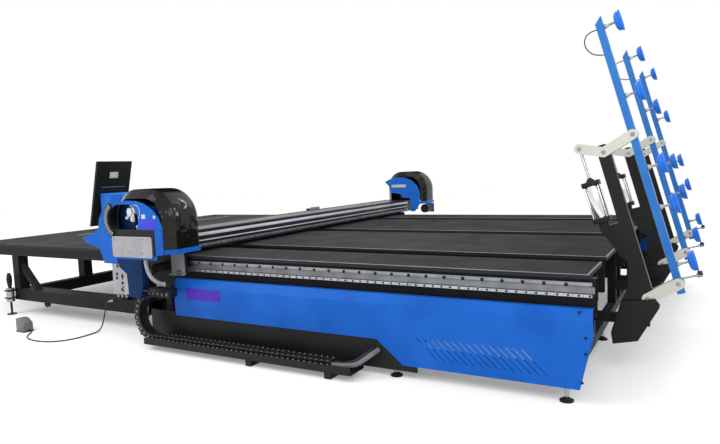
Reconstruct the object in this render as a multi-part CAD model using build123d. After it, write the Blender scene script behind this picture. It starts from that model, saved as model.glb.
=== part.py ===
from build123d import *
import os
from math import atan2, cos, degrees, hypot, pi, radians, sin, tan

# CNC glass cutting table: cutting table with a travelling bridge, tilting three-arm glass loader,
# breaking table, console and foot switch. Millimetres, +X towards the loader, +Y away from the operator
# side, Z from the floor. The model is drawn from the right front corner of the cutting boards and is
# moved at the end so that the origin lies under the middle of the whole machine.

# Cutting table top
TABLE_TOP = 880
TABLE_LENGTH = 4300
EDGE_BOARD = 590
WIDE_BOARD = 1440
ARM_SLOT = 260
BOARD_THICK = 25
FELT_THICK = 4
FELT_INSET = 2

# Cutting table frame
BEAM_WIDTH = 80
BEAM_INSET = 25
BEAM_OVERHANG = 40
BEAM_BOTTOM = 585
JOIST_WIDTH = 60
JOIST_INSET = 15
TUBE_WALL = 5
BASE_BEAM = 80
BASE_BOTTOM = 130
BASE_OVERHANG = 100
FRAME_FIRST = 142
FRAME_LAST = 228
FRAME_COUNT = 4
BASE_RAIL = 60
FOOT_PAD_RADIUS = 48
FOOT_PAD_HEIGHT = 12
FOOT_STEM_RADIUS = 12
FOOT_OVERHANG = 60

# Guide rails and racks on the outer faces of the side beams
RAIL_HEIGHT = 20
RAIL_DEPTH = 22
RAIL_LEVEL = 733
RAIL_HOLE_STEP = 65
RAIL_HOLE_RADIUS = 5
RAIL_END_GAP = 20
GEAR_MODULE = 4
PINION_TEETH = 12
RACK_DEPTH = 20
RACK_HEIGHT = 28
RACK_PITCH_LEVEL = 798
TOOTH_SHARE = 0.40
TOOTH_ANGLE = 20
RACK_ADDENDUM = 0.8
PINION_ADDENDUM = 1.1
PINION_DEDENDUM = 0.6
PINION_WIDTH = 18
PINION_GAP = 1

# Covers
SHEET = 3
COVER_START = 472
COVER_RIGHT = 40
COVER_TOP = 665
COVER_BULGE = 130
COVER_TOP_REACH = 95
COVER_FOOT_REACH = 110
COVER_CREASE_HIGH = 590
COVER_CREASE_LOW = 415
COVER_BOTTOM = 108
COVER_END_FOOT = 85
COVER_END_NOSE = 10
COVER_END_RISE = 85
CUTAWAY_LEVEL = 300
CUTAWAY_GAP = 105
CUTAWAY_RUN = 227
LOUVRE_COUNT = 15
LOUVRE_GAP = 123
LOUVRE_END = 433
LOUVRE_WIDTH = 5
LOUVRE_HEIGHT = 170
LOUVRE_TOP = 350
LOUVRE_LEAN = 46
PLINTH_BOTTOM = 60
PLINTH_TOP = 330
PLINTH_LEFT_LAP = 60
PLINTH_RIGHT_LAP = 120

# Chain tray and drag chain
TRAY_START = 278
TRAY_END_SHARE = 17 / 43
TRAY_FRONT = -370
TRAY_WIDTH = 215
TRAY_BOTTOM = 57
TRAY_WALL_HEIGHT = 63
TRAY_SUPPORT_GAPS = (1036, 223)
TRAY_SUPPORT_WIDTH = 60
CHAIN_BEND_BACK = 152
CHAIN_BEND_OUTER = 260
CHAIN_HEIGHT = 70
CHAIN_WIDTH = 110
CHAIN_PITCH = 56
CHAIN_NOTCH = 6
CHAIN_FIXED_GAP = 220
CHAIN_MOVING_REACH = 88
CHAIN_TRAY_GAP = 4
BEND_LINKS = 12
CONDUIT_RADIUS = 19
CONDUIT_ROOT = 17
CONDUIT_BORE = 15
CONDUIT_RUN = 150
CONDUIT_BENDS = (150, 130)
CONDUIT_SPACING = 2.4
CONDUIT_KNEE = (105, 60, 80)
CONDUIT_END = (150, 40, 120)
RIB_PITCH = 9
RIB_SHARES = (0, 0.15, 0.55, 0.7)

# Bridge, parked near the left end of the table; places along X are taken from its right face
BRIDGE_PARK = 512
BRIDGE_WIDTH = 440
BRIDGE_BOTTOM = 915
BRIDGE_TOP = 1105
BRIDGE_WALL = 8
PLATE_FACE = -398
PLATE_THICK = 8
BRIDGE_FAR_REACH = 760
CAP_SIDES = (-530, 21)
CAP_BOTTOM = 905
CAP_TOP = 1107
CAP_DEPTH = 24
CAP_CORNER = 22
PLATE_UNDERSIDE = 885
NEAR_PLATE_SHAPE = (
    (56, PLATE_UNDERSIDE), (56, 931), (144, 940), (148, 1199), (109, 1285), (38, 1359), (-69, 1416),
    (-179, 1442), (-310, 1448), (-501, 1436), (-659, 1372), (-730, 1265), (-750, 1162), (-905, 1106),
    (-1002, 1080), (-952, 1031), (-905, 1018), (-750, 976), (-690, 832), (-501, 832), (-501, PLATE_UNDERSIDE),
)
OPENING_PLACE = (-385, 1268)
OPENING_HALF = (222, 145)
FAR_PLATE_REACH = 310
FAR_PLATE_SHAPE = (
    (61, 908), (138, 908), (233, 1035), (233, 1239), (195, 1344), (99, 1434), (-36, 1491),
    (-173, 1495), (-333, 1464), (-423, 1421), (-353, 1357), (-293, 1230), (-134, 1210), (-75, 1138),
    (61, 1138),
)
NEAR_HOOD_SIZE = (-542, 228, 1550)
FAR_HOOD_SIZE = (-393, 328, 1590)
HOOD_RADIUS = 300
HOOD_LEFT_RADIUS = 150
HOOD_WALL = 5
HOOD_LENGTH = 430
HOOD_FRONT_INSET = 90
HOOD_FRONT_DEPTH = 81
HOOD_END_ROUND = 45
HOOD_FLOOR_LAP = 100
TRIM_HEIGHT = 45
NEAR_SILL = 985
FAR_SILL = 1080
MOTOR_TAB = 150
CARRIAGE_THICK = 16
CARRIAGE_GAP = 55
CARRIAGE_BOTTOM = 690
CARRIAGE_SIDES = (-452, 68)
BLOCK_LENGTH = 120
BLOCK_HEIGHT = 56
BLOCK_GAP = 0.4
BLOCK_BEAM_GAP = 5
BLOCK_END_INSET = 20
PINION_BACK = 192
MOTOR_RADIUS = 45
MOTOR_LENGTH = 170
MOTOR_FLANGE = 110
MOTOR_FLANGE_THICK = 14
MOTOR_SHAFT_RADIUS = 9
BRACKET_BACK = 132
BRACKET_WIDTH = 176
BRACKET_THICK = 12
BRACKET_HOLE_RADIUS = 6
HEAD_MOTOR_REACH = 315
HEAD_MOTOR_LEVEL = 958
HEAD_MOTOR_RADIUS = 72
HEAD_MOTOR_LENGTH = 230
HANGER_SHAPE = (
    (-501, PLATE_UNDERSIDE), (-472, 802), (-376, 741), (-362, 515), (-197, 515), (-157, 640),
    (-157, PLATE_UNDERSIDE),
)
HANGER_DEPTH = 76
ARM_THICK = 12
FITTING_LENGTH = 60
FITTING_WIDTH = 50
FITTING_HEIGHT = 55
HOSE_RUN = ((-132, -370, 915), (-132, -370, 760), (-102, -262, 626), (28, -262, 626))
HOSE_BENDS = (125, 76)
MANIFOLD_SIDES = (-590, -376)
MANIFOLD_FOOT = 538
MANIFOLD_TOP = 741
MANIFOLD_PORTS = 5
MANIFOLD_FIRST_PORT = 0.7
MANIFOLD_THICK = 30
MANIFOLD_HOLE_RADIUS = 11

# Cutting head on the left face of the bridge
HEAD_RAIL = 20
HEAD_RAIL_LEVELS = (955, 1065)
HEAD_RAIL_NEAR = 60
HEAD_RAIL_END = 60
HEAD_Y = 3020
HEAD_HALF = 110
HEAD_PLATE_GAP = 6
HEAD_PLATE_THICK = 18
HEAD_TOP = 1140
HEAD_BOTTOM = 930
LIFT_GUIDE_WIDTH = 90
LIFT_GUIDE_DEPTH = 26
LIFT_CLEAR = 0.4
LIFT_BODY_DEPTH = 70
LIFT_BODY_WIDTH = 120
LIFT_BODY_BOTTOM = 960
LIFT_BODY_TOP = 1120
SWIVEL_RADIUS = 14
SWIVEL_BOTTOM = 925
SWIVEL_CLEAR = 0.05
WHEEL_RADIUS = 9
WHEEL_THICK = 3
WHEEL_GAP = 20
WHEEL_SLOT_SHARE = 1.2

# Glass loader
ARM_LEAN = 15.5
COLUMN_TOP_PIVOT = (1, 1711)
PIVOT_SPACING = 1155
ROCKER_REACH = (203, 124)
ROCKER_TAIL = (-177, 33)
CYLINDER_FOOT = (8, 1115)
SWING_AXIS = (260, 388)
LOADER_HALF = 30
COLUMN_HALF = 45
COLUMN_SHOULDER = 32
COLUMN_CROWN = ((-60, -22), (-60, 22), (-COLUMN_SHOULDER, COLUMN_HALF))
COLUMN_TOE = 40
COLUMN_RIM = 10
BOOT_THICK = 8
PIN_BOSS = 30
SHAFT_BOSS = 42
COLUMN_GUSSET = (
    (128, 142), (-18, -120), (-197, -160), (-210, -69), (-139, 175), (-92, 281), (-92, 488), (-149, 531),
)
BOOT_TOP = ((99, 216), (133, 173))
COLUMN_LUG = ((33, -89), (-20, -28), (-34, 0), (-20, 28), (30, 36), (96, 55))
LINK_GAP = 2
LINK_THICK = 8
LINK_EYE_RADIUS = 38
LOWER_LINK_EYE = 42
PIN_RADIUS = 15
PIN_CLEAR = 0.05
ARM_HALF = 27
ARM_WALL = 4
ARM_ABOVE_PIN = 925
ARM_TOP_CUT = 53
ARM_BELOW_PIN = 75
CUP_PLACES = (841, 293, -269, -577, -1015)
CUP_RADIUS = 80
CUP_NECK_RADIUS = 30
CUP_DEPTH = 42
CUP_FACE = 155
STEM_RADIUS = 9
REST_PLACE = -1125
REST_REACH = 165
REST_RADIUS = 8
REST_HEAD_RADIUS = 17
REST_HEAD_LENGTH = 34
BARREL_RADIUS = 60
BARREL_START = 62
BARREL_LENGTH = 290
BARREL_HEAD = 36
BARREL_HEAD_SIDE = 124
BARREL_BORE = 11
ROD_RADIUS = 10.9
ROD_EYE_RADIUS = 22
ROD_EYE_HALF = 13
SHAFT_RADIUS = 35
SHAFT_START = 670
OUTRIGGER_HALF = 30
OUTRIGGER_HEIGHT = 74
BEARING_SIDE = 100
GEARBOX_LENGTH = 150
GEARBOX_SIDE = 170
GEARMOTOR_RADIUS = 70
GEARMOTOR_LENGTH = 240

# Breaking table
BREAK_GAP = 100
BREAK_LENGTH = 3450
BREAK_FRONT = 120
BREAK_DEPTH = 4600
BREAK_BEAM = 100
BREAK_BEAM_HEIGHT = 105
BREAK_LEG = 128
BREAK_LEG_INSETS = (885, 230)
BREAK_LEG_STEP = 914
BREAK_JOIST_PLACES = (570, 770, 2130)
BREAK_JOIST = 60
BREAK_RAIL_BOTTOM = 180
BREAK_RAIL_TOP = 320
BREAK_RAIL_DEPTH = 200
BREAK_FELT_INSET = 3
GUSSET_REACH = 240
GUSSET_WIDTH = 80
GUSSET_INSET = 25
JACK_RADIUS = 45
JACK_HANDLE_RADIUS = 18
JACK_SCREW_RADIUS = 13
JACK_PAD_RADIUS = 56
JACK_BOTTOM = 165
JACK_SLEEVE_TOP = 335
JACK_TOP = 528
JACK_BRACKETS = (205, 298)
JACK_BRACKET_THICK = 15
JACK_STAND_OFF = 60
JACK_BRACKET_HALF = 40
BAR_PLACE = 700
BAR_WIDTH = 40
BAR_INSETS = (1080, 320)
BAR_DEPTH = 120
BAR_CLEAR = 1
BAR_SUPPORT_INSET = 200
BAR_SUPPORT_WIDTH = 120
CASTER_Y = 500
CASTER_WHEEL_RADIUS = 48
CASTER_WHEEL_WIDTH = 34
CASTER_FLOOR_GAP = 2
CASTER_FORK_HALF = 40
CASTER_FORK_THICK = 6
CASTER_AXLE_RADIUS = 6
CASTER_AXLE_LAP = 12
CASTER_WHEEL_GAP = 3

# Console
CONSOLE_GAP = 150
CONSOLE_PLACE = 2444
POST_SIDE = 100
POST_HEIGHT = 1000
POST_BASE = 420
POST_BASE_THICK = 12
CONSOLE_BOX_WIDTH = 470
CONSOLE_BOX_DEPTH = 230
CONSOLE_BOX_TOP = 1430
PANEL_WIDTH = 680
PANEL_THICK = 45
PANEL_BOTTOM = 885
PANEL_TOP = 1960
PANEL_LEAN = 15

# Foot switch
PEDAL_LENGTH = 150
PEDAL_WIDTH = 110
PEDAL_HEIGHT = 150
PEDAL_WALL = 5
PEDAL_BASE = 22
PEDAL_NOSE_DROP = 50
PEDAL_ROOF_SHARE = 0.45
TREADLE_THICK = 10
TREADLE_GAP = 4
TREADLE_RISE = 8
TREADLE_PIN_RADIUS = 5
TREADLE_PIN_INSET = 30
TREADLE_TOE_INSET = 10
TREADLE_SLOPE = 7
GLAND_RADIUS = 13
GLAND_REACH = 8
CORD_RADIUS = 7
CORD_CLEAR = 0.5
CORD_CORNER_SHARE = 0.45
GLAND_PLACE = 686
CORD_RUN = (
    (0, 112, 300),
    (0, 80, 300),
    (2, 50, 284),
    (6, 24, 241),
    (10, 2, 187),
    (14, -17, 128),
    (18, -40, 72),
    (25, -72, 32),
    (33, -115, 11),
    (41, -170, 8.5),
    (46, -230, 8),
    (48, -290, 8),
    (44, -350, 8),
    (34, -406, 8),
    (16, -457, 8),
    (-12, -502, 8),
    (-50, -541, 8),
    (-98, -573, 8),
    (-155, -597, 8),
    (-220, -612, 8),
    (-290, -619, 8),
    (-360, -617, 8),
    (-425, -607, 8),
    (-485, -589, 8),
    (-540, -563, 8),
    (-585, -531, 8),
    (-622, -494, 8.5),
    (-655, -457, 9.5),
    (-684, -427, 11),
    (-712, -408, 13),
    (-740, -400, 15),
    (-769, -400, 15),
)

TABLE_DEPTH = 2 * EDGE_BOARD + 2 * WIDE_BOARD + 3 * ARM_SLOT
BOARD_TOP = TABLE_TOP - FELT_THICK
BOARD_BOTTOM = BOARD_TOP - BOARD_THICK
BASE_TOP = BASE_BOTTOM + BASE_BEAM
BOARD_STARTS = (
    0,
    EDGE_BOARD + ARM_SLOT,
    EDGE_BOARD + WIDE_BOARD + 2 * ARM_SLOT,
    EDGE_BOARD + 2 * WIDE_BOARD + 3 * ARM_SLOT,
)
BOARD_WIDTHS = (EDGE_BOARD, WIDE_BOARD, WIDE_BOARD, EDGE_BOARD)
SLOT_CENTRES = tuple(start - ARM_SLOT / 2 for start in BOARD_STARTS[1:])
FRAME_STEP = (TABLE_LENGTH - FRAME_FIRST - FRAME_LAST) / (FRAME_COUNT - 1)
FRAME_PLACES = tuple(-FRAME_FIRST - FRAME_STEP * number for number in range(FRAME_COUNT))
BEAM_FACE = BEAM_INSET
REAR_FACE = TABLE_DEPTH - BEAM_INSET
BRIDGE_RIGHT = BRIDGE_PARK - TABLE_LENGTH
BRIDGE_LEFT = BRIDGE_RIGHT - BRIDGE_WIDTH
BRIDGE_FAR_END = TABLE_DEPTH + BRIDGE_FAR_REACH
FAR_PLATE_FACE = TABLE_DEPTH + FAR_PLATE_REACH
HEAD_RAIL_FAR = TABLE_DEPTH - HEAD_RAIL_END
TRAY_LEFT = TRAY_START - TABLE_LENGTH
TRAY_RIGHT = -TRAY_END_SHARE * TABLE_LENGTH
TRAY_SUPPORTS = tuple(TRAY_RIGHT - gap for gap in TRAY_SUPPORT_GAPS)
COVER_LEFT = COVER_START - TABLE_LENGTH
CUTAWAY_TOP_X = TRAY_RIGHT + CUTAWAY_GAP
CUTAWAY_FOOT_X = CUTAWAY_TOP_X + CUTAWAY_RUN
LOUVRE_FIRST_X = CUTAWAY_FOOT_X + LOUVRE_GAP
LOUVRE_STEP = -(LOUVRE_END + LOUVRE_FIRST_X) / (LOUVRE_COUNT - 1)
CHAIN_BEND_X = BRIDGE_RIGHT - CHAIN_BEND_BACK
CHAIN_FIXED_X = TRAY_RIGHT - CHAIN_FIXED_GAP
CHAIN_MOVING_X = BRIDGE_RIGHT + CHAIN_MOVING_REACH
CAP_LEFT, CAP_RIGHT = (BRIDGE_RIGHT + side for side in CAP_SIDES)
CARRIAGE_LEFT, CARRIAGE_RIGHT = (BRIDGE_RIGHT + side for side in CARRIAGE_SIDES)
MANIFOLD_LEFT, MANIFOLD_RIGHT = (BRIDGE_RIGHT + side for side in MANIFOLD_SIDES)
NEAR_PLATE_OUTLINE = tuple((BRIDGE_RIGHT + x, z) for x, z in NEAR_PLATE_SHAPE)
FAR_PLATE_OUTLINE = tuple((BRIDGE_RIGHT + x, z) for x, z in FAR_PLATE_SHAPE)
HANGER_OUTLINE = tuple((BRIDGE_RIGHT + x, z) for x, z in HANGER_SHAPE)
HOSE_POINTS = tuple((BRIDGE_RIGHT + x, y, z) for x, y, z in HOSE_RUN)
OPENING_CENTRE = (BRIDGE_RIGHT + OPENING_PLACE[0], OPENING_PLACE[1])
NEAR_HOOD = (BRIDGE_RIGHT + NEAR_HOOD_SIZE[0], BRIDGE_RIGHT + NEAR_HOOD_SIZE[1], NEAR_HOOD_SIZE[2])
FAR_HOOD = (BRIDGE_RIGHT + FAR_HOOD_SIZE[0], BRIDGE_RIGHT + FAR_HOOD_SIZE[1], FAR_HOOD_SIZE[2])
PINION_X = BRIDGE_RIGHT - PINION_BACK
BRACKET_LEFT = BRIDGE_RIGHT - BRACKET_BACK
HEAD_MOTOR_X = BRIDGE_RIGHT + HEAD_MOTOR_REACH
PLATE_BACK = PLATE_FACE + PLATE_THICK
FAR_PLATE_BACK = FAR_PLATE_FACE + PLATE_THICK
PITCH_RADIUS = GEAR_MODULE * PINION_TEETH / 2
PINION_LEVEL = RACK_PITCH_LEVEL - PITCH_RADIUS
GEAR_PITCH = pi * GEAR_MODULE
CHAIN_FRONT = TRAY_FRONT + (TRAY_WIDTH - CHAIN_WIDTH) / 2
CHAIN_BACK = CHAIN_FRONT + CHAIN_WIDTH
CHAIN_FLOOR = TRAY_BOTTOM + SHEET + CHAIN_TRAY_GAP
CHAIN_AXIS = CHAIN_FLOOR + CHAIN_BEND_OUTER
CHAIN_CEILING = CHAIN_AXIS + CHAIN_BEND_OUTER
BREAK_RIGHT = -TABLE_LENGTH - BREAK_GAP
BREAK_LEFT = BREAK_RIGHT - BREAK_LENGTH
BREAK_BACK = BREAK_FRONT + BREAK_DEPTH
BREAK_LEG_LEFT = BREAK_LEFT + BREAK_LEG_INSETS[0]
BREAK_LEG_RIGHT = BREAK_RIGHT - BREAK_LEG_INSETS[1]
BREAK_JOISTS = tuple(BREAK_LEFT + place for place in BREAK_JOIST_PLACES)
BAR_X = BREAK_LEFT + BAR_PLACE
BAR_START = BREAK_FRONT + BAR_INSETS[0]
BAR_LENGTH = BREAK_DEPTH - BAR_INSETS[0] - BAR_INSETS[1]
BAR_SUPPORTS = (
    BAR_START + BAR_SUPPORT_INSET, BAR_START + BAR_LENGTH / 2, BAR_START + BAR_LENGTH - BAR_SUPPORT_INSET,
)
CONSOLE_Y = BREAK_FRONT + CONSOLE_PLACE
CORD_POINTS = tuple((BREAK_RIGHT - GLAND_PLACE + x, y, z) for x, y, z in CORD_RUN)
PEDAL_X = CORD_POINTS[-1][0] - PEDAL_LENGTH / 2
PEDAL_Y = CORD_POINTS[-1][1]


def block(x0, x1, y0, y1, z0, z1):
    place = Pos((x0 + x1) / 2, (y0 + y1) / 2, (z0 + z1) / 2)
    return place * Box(x1 - x0, y1 - y0, z1 - z0)


def tube(x0, x1, y0, y1, z0, z1, along, wall=TUBE_WALL):
    outer = block(x0, x1, y0, y1, z0, z1)
    dx, dy, dz = (0 if axis == along else wall for axis in "xyz")
    return outer - block(x0 + dx, x1 - dx, y0 + dy, y1 - dy, z0 + dz, z1 - dz)


def side_plate(points, y0, y1):
    plane = Plane(origin=(0, y1, 0), x_dir=(1, 0, 0), z_dir=(0, -1, 0))
    return extrude(plane * make_face(Polyline(*points, close=True)), amount=y1 - y0)


def long_sheet(points, x0, x1):
    plane = Plane(origin=(x0, 0, 0), x_dir=(0, 1, 0), z_dir=(1, 0, 0))
    return extrude(plane * make_face(Polyline(*points, close=True)), amount=x1 - x0)


def rod(start, end, radius):
    direction = Vector(*end) - Vector(*start)
    return Solid.make_cylinder(radius, direction.length, Plane(origin=start, z_dir=direction))


def cross_pin(x, z, y0, y1, radius):
    return rod((x, y0, z), (x, y1, z), radius)


def each_solid(shapes):
    return [solid for shape in shapes for solid in shape.solids()]


# Cutting table

def table_boards():
    return [
        block(-TABLE_LENGTH, 0, start, start + width, BOARD_BOTTOM, BOARD_TOP)
        for start, width in zip(BOARD_STARTS, BOARD_WIDTHS)
    ]


def table_felts():
    edge = FELT_INSET
    return [
        block(-TABLE_LENGTH + edge, -edge, start + edge, start + width - edge, BOARD_TOP, TABLE_TOP)
        for start, width in zip(BOARD_STARTS, BOARD_WIDTHS)
    ]


def side_beams():
    ends = (-TABLE_LENGTH + BEAM_INSET, BEAM_OVERHANG)
    front = tube(*ends, BEAM_FACE, BEAM_FACE + BEAM_WIDTH, BEAM_BOTTOM, BOARD_BOTTOM, "x")
    rear = tube(*ends, REAR_FACE - BEAM_WIDTH, REAR_FACE, BEAM_BOTTOM, BOARD_BOTTOM, "x")
    return [front, rear]


def joist_centres():
    inset = JOIST_INSET + JOIST_WIDTH / 2
    centres = [EDGE_BOARD - inset, BOARD_STARTS[3] + inset]
    for start in BOARD_STARTS[1:3]:
        centres += [start + inset, start + WIDE_BOARD / 2, start + WIDE_BOARD - inset]
    return sorted(centres)


def post_centres():
    middles = [start + WIDE_BOARD / 2 for start in BOARD_STARTS[1:3]]
    return [centre for centre in joist_centres() if centre not in middles]


def board_joists():
    half = JOIST_WIDTH / 2
    ends = (-TABLE_LENGTH + BEAM_INSET, -BEAM_INSET)
    return [tube(*ends, y - half, y + half, BEAM_BOTTOM, BOARD_BOTTOM, "x") for y in joist_centres()]


def frame_posts():
    half = JOIST_WIDTH / 2
    edges = [(BEAM_FACE, BEAM_FACE + BEAM_WIDTH), (REAR_FACE - BEAM_WIDTH, REAR_FACE)]
    edges += [(y - half, y + half) for y in post_centres()]
    posts = []
    for x in FRAME_PLACES:
        for y0, y1 in edges:
            posts.append(tube(x - BASE_BEAM / 2, x + BASE_BEAM / 2, y0, y1, BASE_TOP, BEAM_BOTTOM, "z"))
    return posts


def base_beams():
    half = BASE_BEAM / 2
    ends = (-BASE_OVERHANG, TABLE_DEPTH + BASE_OVERHANG)
    beams = [tube(x - half, x + half, *ends, BASE_BOTTOM, BASE_TOP, "y") for x in FRAME_PLACES]
    for first, second in zip(FRAME_PLACES, FRAME_PLACES[1:]):
        for y0 in (BEAM_FACE, REAR_FACE - BASE_RAIL):
            beams.append(tube(second + half, first - half, y0, y0 + BASE_RAIL, BASE_BOTTOM, BASE_TOP, "x"))
    return beams


def cover_tabs():
    reach = COVER_BULGE - SHEET
    tabs = []
    for x in FRAME_PLACES[:-1]:
        span = (x - BASE_BEAM / 4, x + BASE_BEAM / 4)
        level = (COVER_CREASE_HIGH - 4 * SHEET, COVER_CREASE_HIGH - 2 * SHEET)
        tabs.append(block(*span, -reach, BEAM_FACE, *level))
        tabs.append(block(*span, REAR_FACE, TABLE_DEPTH + reach, *level))
    return tabs


def levelling_feet():
    places = (-FOOT_OVERHANG, BOARD_STARTS[1] + WIDE_BOARD / 2, BOARD_STARTS[2] + WIDE_BOARD / 2,
              TABLE_DEPTH + FOOT_OVERHANG)
    feet = []
    for x in FRAME_PLACES:
        for y in places:
            outline = Polyline(
                (0, 0), (FOOT_PAD_RADIUS, 0), (FOOT_PAD_RADIUS, FOOT_PAD_HEIGHT),
                (2 * FOOT_STEM_RADIUS, 2 * FOOT_PAD_HEIGHT), (FOOT_STEM_RADIUS, 3 * FOOT_PAD_HEIGHT),
                (FOOT_STEM_RADIUS, BASE_BOTTOM), (0, BASE_BOTTOM), close=True)
            feet.append(Pos(x, y, 0) * revolve(Plane.XZ * make_face(outline), Axis.Z))
    return feet


# Rails, racks and pinions

def guide_rail(face, outward):
    length = TABLE_LENGTH - BEAM_INSET + BEAM_OVERHANG - 2 * RAIL_END_GAP
    middle = BEAM_OVERHANG - RAIL_END_GAP - length / 2
    y0, y1 = sorted((face, face + outward * RAIL_DEPTH))
    rail = block(middle - length / 2, middle + length / 2, y0, y1,
                 RAIL_LEVEL - RAIL_HEIGHT / 2, RAIL_LEVEL + RAIL_HEIGHT / 2)
    count = int(length / RAIL_HOLE_STEP)
    plane = Plane(origin=(middle, face + outward * RAIL_DEPTH, RAIL_LEVEL), x_dir=(1, 0, 0),
                  z_dir=(0, -outward, 0))
    holes = [plane * place * Circle(RAIL_HOLE_RADIUS) for place in GridLocations(RAIL_HOLE_STEP, 1, count, 1)]
    return rail - [extrude(hole, amount=RAIL_DEPTH / 2) for hole in holes]


def guide_rails():
    return [guide_rail(BEAM_FACE, -1), guide_rail(REAR_FACE, 1)]


def tooth_half(height):
    return GEAR_PITCH * TOOTH_SHARE / 2 - height * tan(radians(TOOTH_ANGLE))


def rack(face, outward):
    tip = RACK_ADDENDUM * GEAR_MODULE
    root = 1.25 * GEAR_MODULE
    tip_level = RACK_PITCH_LEVEL - tip
    root_level = RACK_PITCH_LEVEL + root
    left = -TABLE_LENGTH + BEAM_INSET + RAIL_END_GAP
    right = BEAM_OVERHANG - RAIL_END_GAP
    first = PINION_X + GEAR_PITCH / 2
    lowest = int((left - first) / GEAR_PITCH) + 1
    highest = int((right - first) / GEAR_PITCH) - 1
    points = [(left, RACK_PITCH_LEVEL + RACK_HEIGHT), (left, root_level)]
    for number in range(lowest, highest + 1):
        x = first + number * GEAR_PITCH
        points += [
            (x - tooth_half(-root), root_level), (x - tooth_half(tip), tip_level),
            (x + tooth_half(tip), tip_level), (x + tooth_half(-root), root_level),
        ]
    points += [(right, root_level), (right, RACK_PITCH_LEVEL + RACK_HEIGHT)]
    y0, y1 = sorted((face, face + outward * RACK_DEPTH))
    return side_plate(points, y0, y1)


def drive_racks():
    return [rack(BEAM_FACE, -1), rack(REAR_FACE, 1)]


def pinion(face, outward):
    tip = PITCH_RADIUS + GEAR_MODULE
    root = PITCH_RADIUS - 1.25 * GEAR_MODULE
    points = []
    for number in range(PINION_TEETH):
        turn = pi / 2 + 2 * pi * number / PINION_TEETH
        for radius, half, side in (
            (root, tooth_half(-PINION_DEDENDUM * GEAR_MODULE), -1), (tip, tooth_half(PINION_ADDENDUM * GEAR_MODULE), -1),
            (tip, tooth_half(PINION_ADDENDUM * GEAR_MODULE), 1), (root, tooth_half(-PINION_DEDENDUM * GEAR_MODULE), 1),
        ):
            angle = turn + side * half / radius
            points.append((PINION_X + radius * cos(angle), PINION_LEVEL + radius * sin(angle)))
    y0, y1 = sorted((face + outward * PINION_GAP, face + outward * (PINION_GAP + PINION_WIDTH)))
    reach = CARRIAGE_THICK + MOTOR_FLANGE_THICK
    stub = sorted((face + outward * PINION_GAP, carriage_face(outward) + outward * reach))
    wheel = side_plate(points, y0, y1)
    return wheel + cross_pin(PINION_X, PINION_LEVEL, *stub, MOTOR_SHAFT_RADIUS)


# Covers and tray

def cover_profile():
    inner = SHEET
    outer = [
        (-COVER_TOP_REACH, COVER_TOP), (-COVER_BULGE, COVER_CREASE_HIGH),
        (-COVER_BULGE, COVER_CREASE_LOW), (-COVER_FOOT_REACH, COVER_BOTTOM),
    ]
    lip = (-COVER_TOP_REACH / 2, COVER_TOP)
    back = [(y + inner, z) for y, z in reversed(outer)]
    back[-1] = (-COVER_TOP_REACH + inner, COVER_TOP - inner)
    return [lip] + outer + back + [(lip[0], COVER_TOP - inner)]


def louvre(number):
    x = LOUVRE_FIRST_X + number * LOUVRE_STEP
    slit = Box(LOUVRE_WIDTH, 4 * COVER_BULGE, LOUVRE_HEIGHT / cos(radians(LOUVRE_LEAN)))
    lean = LOUVRE_HEIGHT / 2 * tan(radians(LOUVRE_LEAN))
    return Pos(x + lean, -COVER_BULGE, LOUVRE_TOP - LOUVRE_HEIGHT / 2) * Rot(0, -LOUVRE_LEAN, 0) * slit


def front_cover():
    sheet = long_sheet(cover_profile(), COVER_LEFT, COVER_RIGHT + BASE_OVERHANG)
    outline = [
        (COVER_LEFT, COVER_TOP + 1), (COVER_LEFT, CUTAWAY_LEVEL), (CUTAWAY_TOP_X, CUTAWAY_LEVEL),
        (CUTAWAY_FOOT_X, COVER_BOTTOM - 1), (COVER_RIGHT - COVER_END_FOOT, COVER_BOTTOM - 1),
        (COVER_RIGHT + COVER_END_NOSE, COVER_CREASE_LOW + COVER_END_RISE), (COVER_RIGHT, COVER_TOP + 1),
    ]
    cover = sheet & side_plate(outline, -2 * COVER_BULGE, 0)
    for number in range(LOUVRE_COUNT):
        cover -= louvre(number)
    return cover


def rear_cover():
    profile = [(TABLE_DEPTH - y, z) for y, z in cover_profile()]
    return long_sheet(profile, -TABLE_LENGTH, COVER_RIGHT)


def plinth_panel():
    left = COVER_LEFT - PLINTH_LEFT_LAP
    right = CUTAWAY_FOOT_X + PLINTH_RIGHT_LAP
    return block(left, right, -BASE_OVERHANG - SHEET, -BASE_OVERHANG, PLINTH_BOTTOM, PLINTH_TOP)


def chain_tray():
    back = TRAY_FRONT + TRAY_WIDTH
    top = TRAY_BOTTOM + TRAY_WALL_HEIGHT
    profile = [
        (TRAY_FRONT, TRAY_BOTTOM), (back, TRAY_BOTTOM), (back, top), (back - SHEET, top),
        (back - SHEET, TRAY_BOTTOM + SHEET), (TRAY_FRONT + SHEET, TRAY_BOTTOM + SHEET),
        (TRAY_FRONT + SHEET, top), (TRAY_FRONT, top),
    ]
    tray = long_sheet(profile, TRAY_LEFT, TRAY_RIGHT)
    for x in TRAY_SUPPORTS:
        ends = (x - TRAY_SUPPORT_WIDTH / 2, x + TRAY_SUPPORT_WIDTH / 2)
        arm_end = -BASE_OVERHANG - SHEET
        tray += block(*ends, back, arm_end, TRAY_BOTTOM, TRAY_BOTTOM + 2 * SHEET)
        tray += block(*ends, arm_end - 2 * SHEET, arm_end, TRAY_BOTTOM, top)
        tray += block(*ends, TRAY_FRONT + 4 * SHEET, TRAY_FRONT + 6 * SHEET, 0, TRAY_BOTTOM)
        tray += block(*ends, TRAY_FRONT + 6 * SHEET, back, 0, 2 * SHEET)
        tray += block(ends[1] - 2 * SHEET, ends[1], TRAY_FRONT + 6 * SHEET, back, 2 * SHEET, TRAY_BOTTOM)
    return tray


# Drag chain

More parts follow.
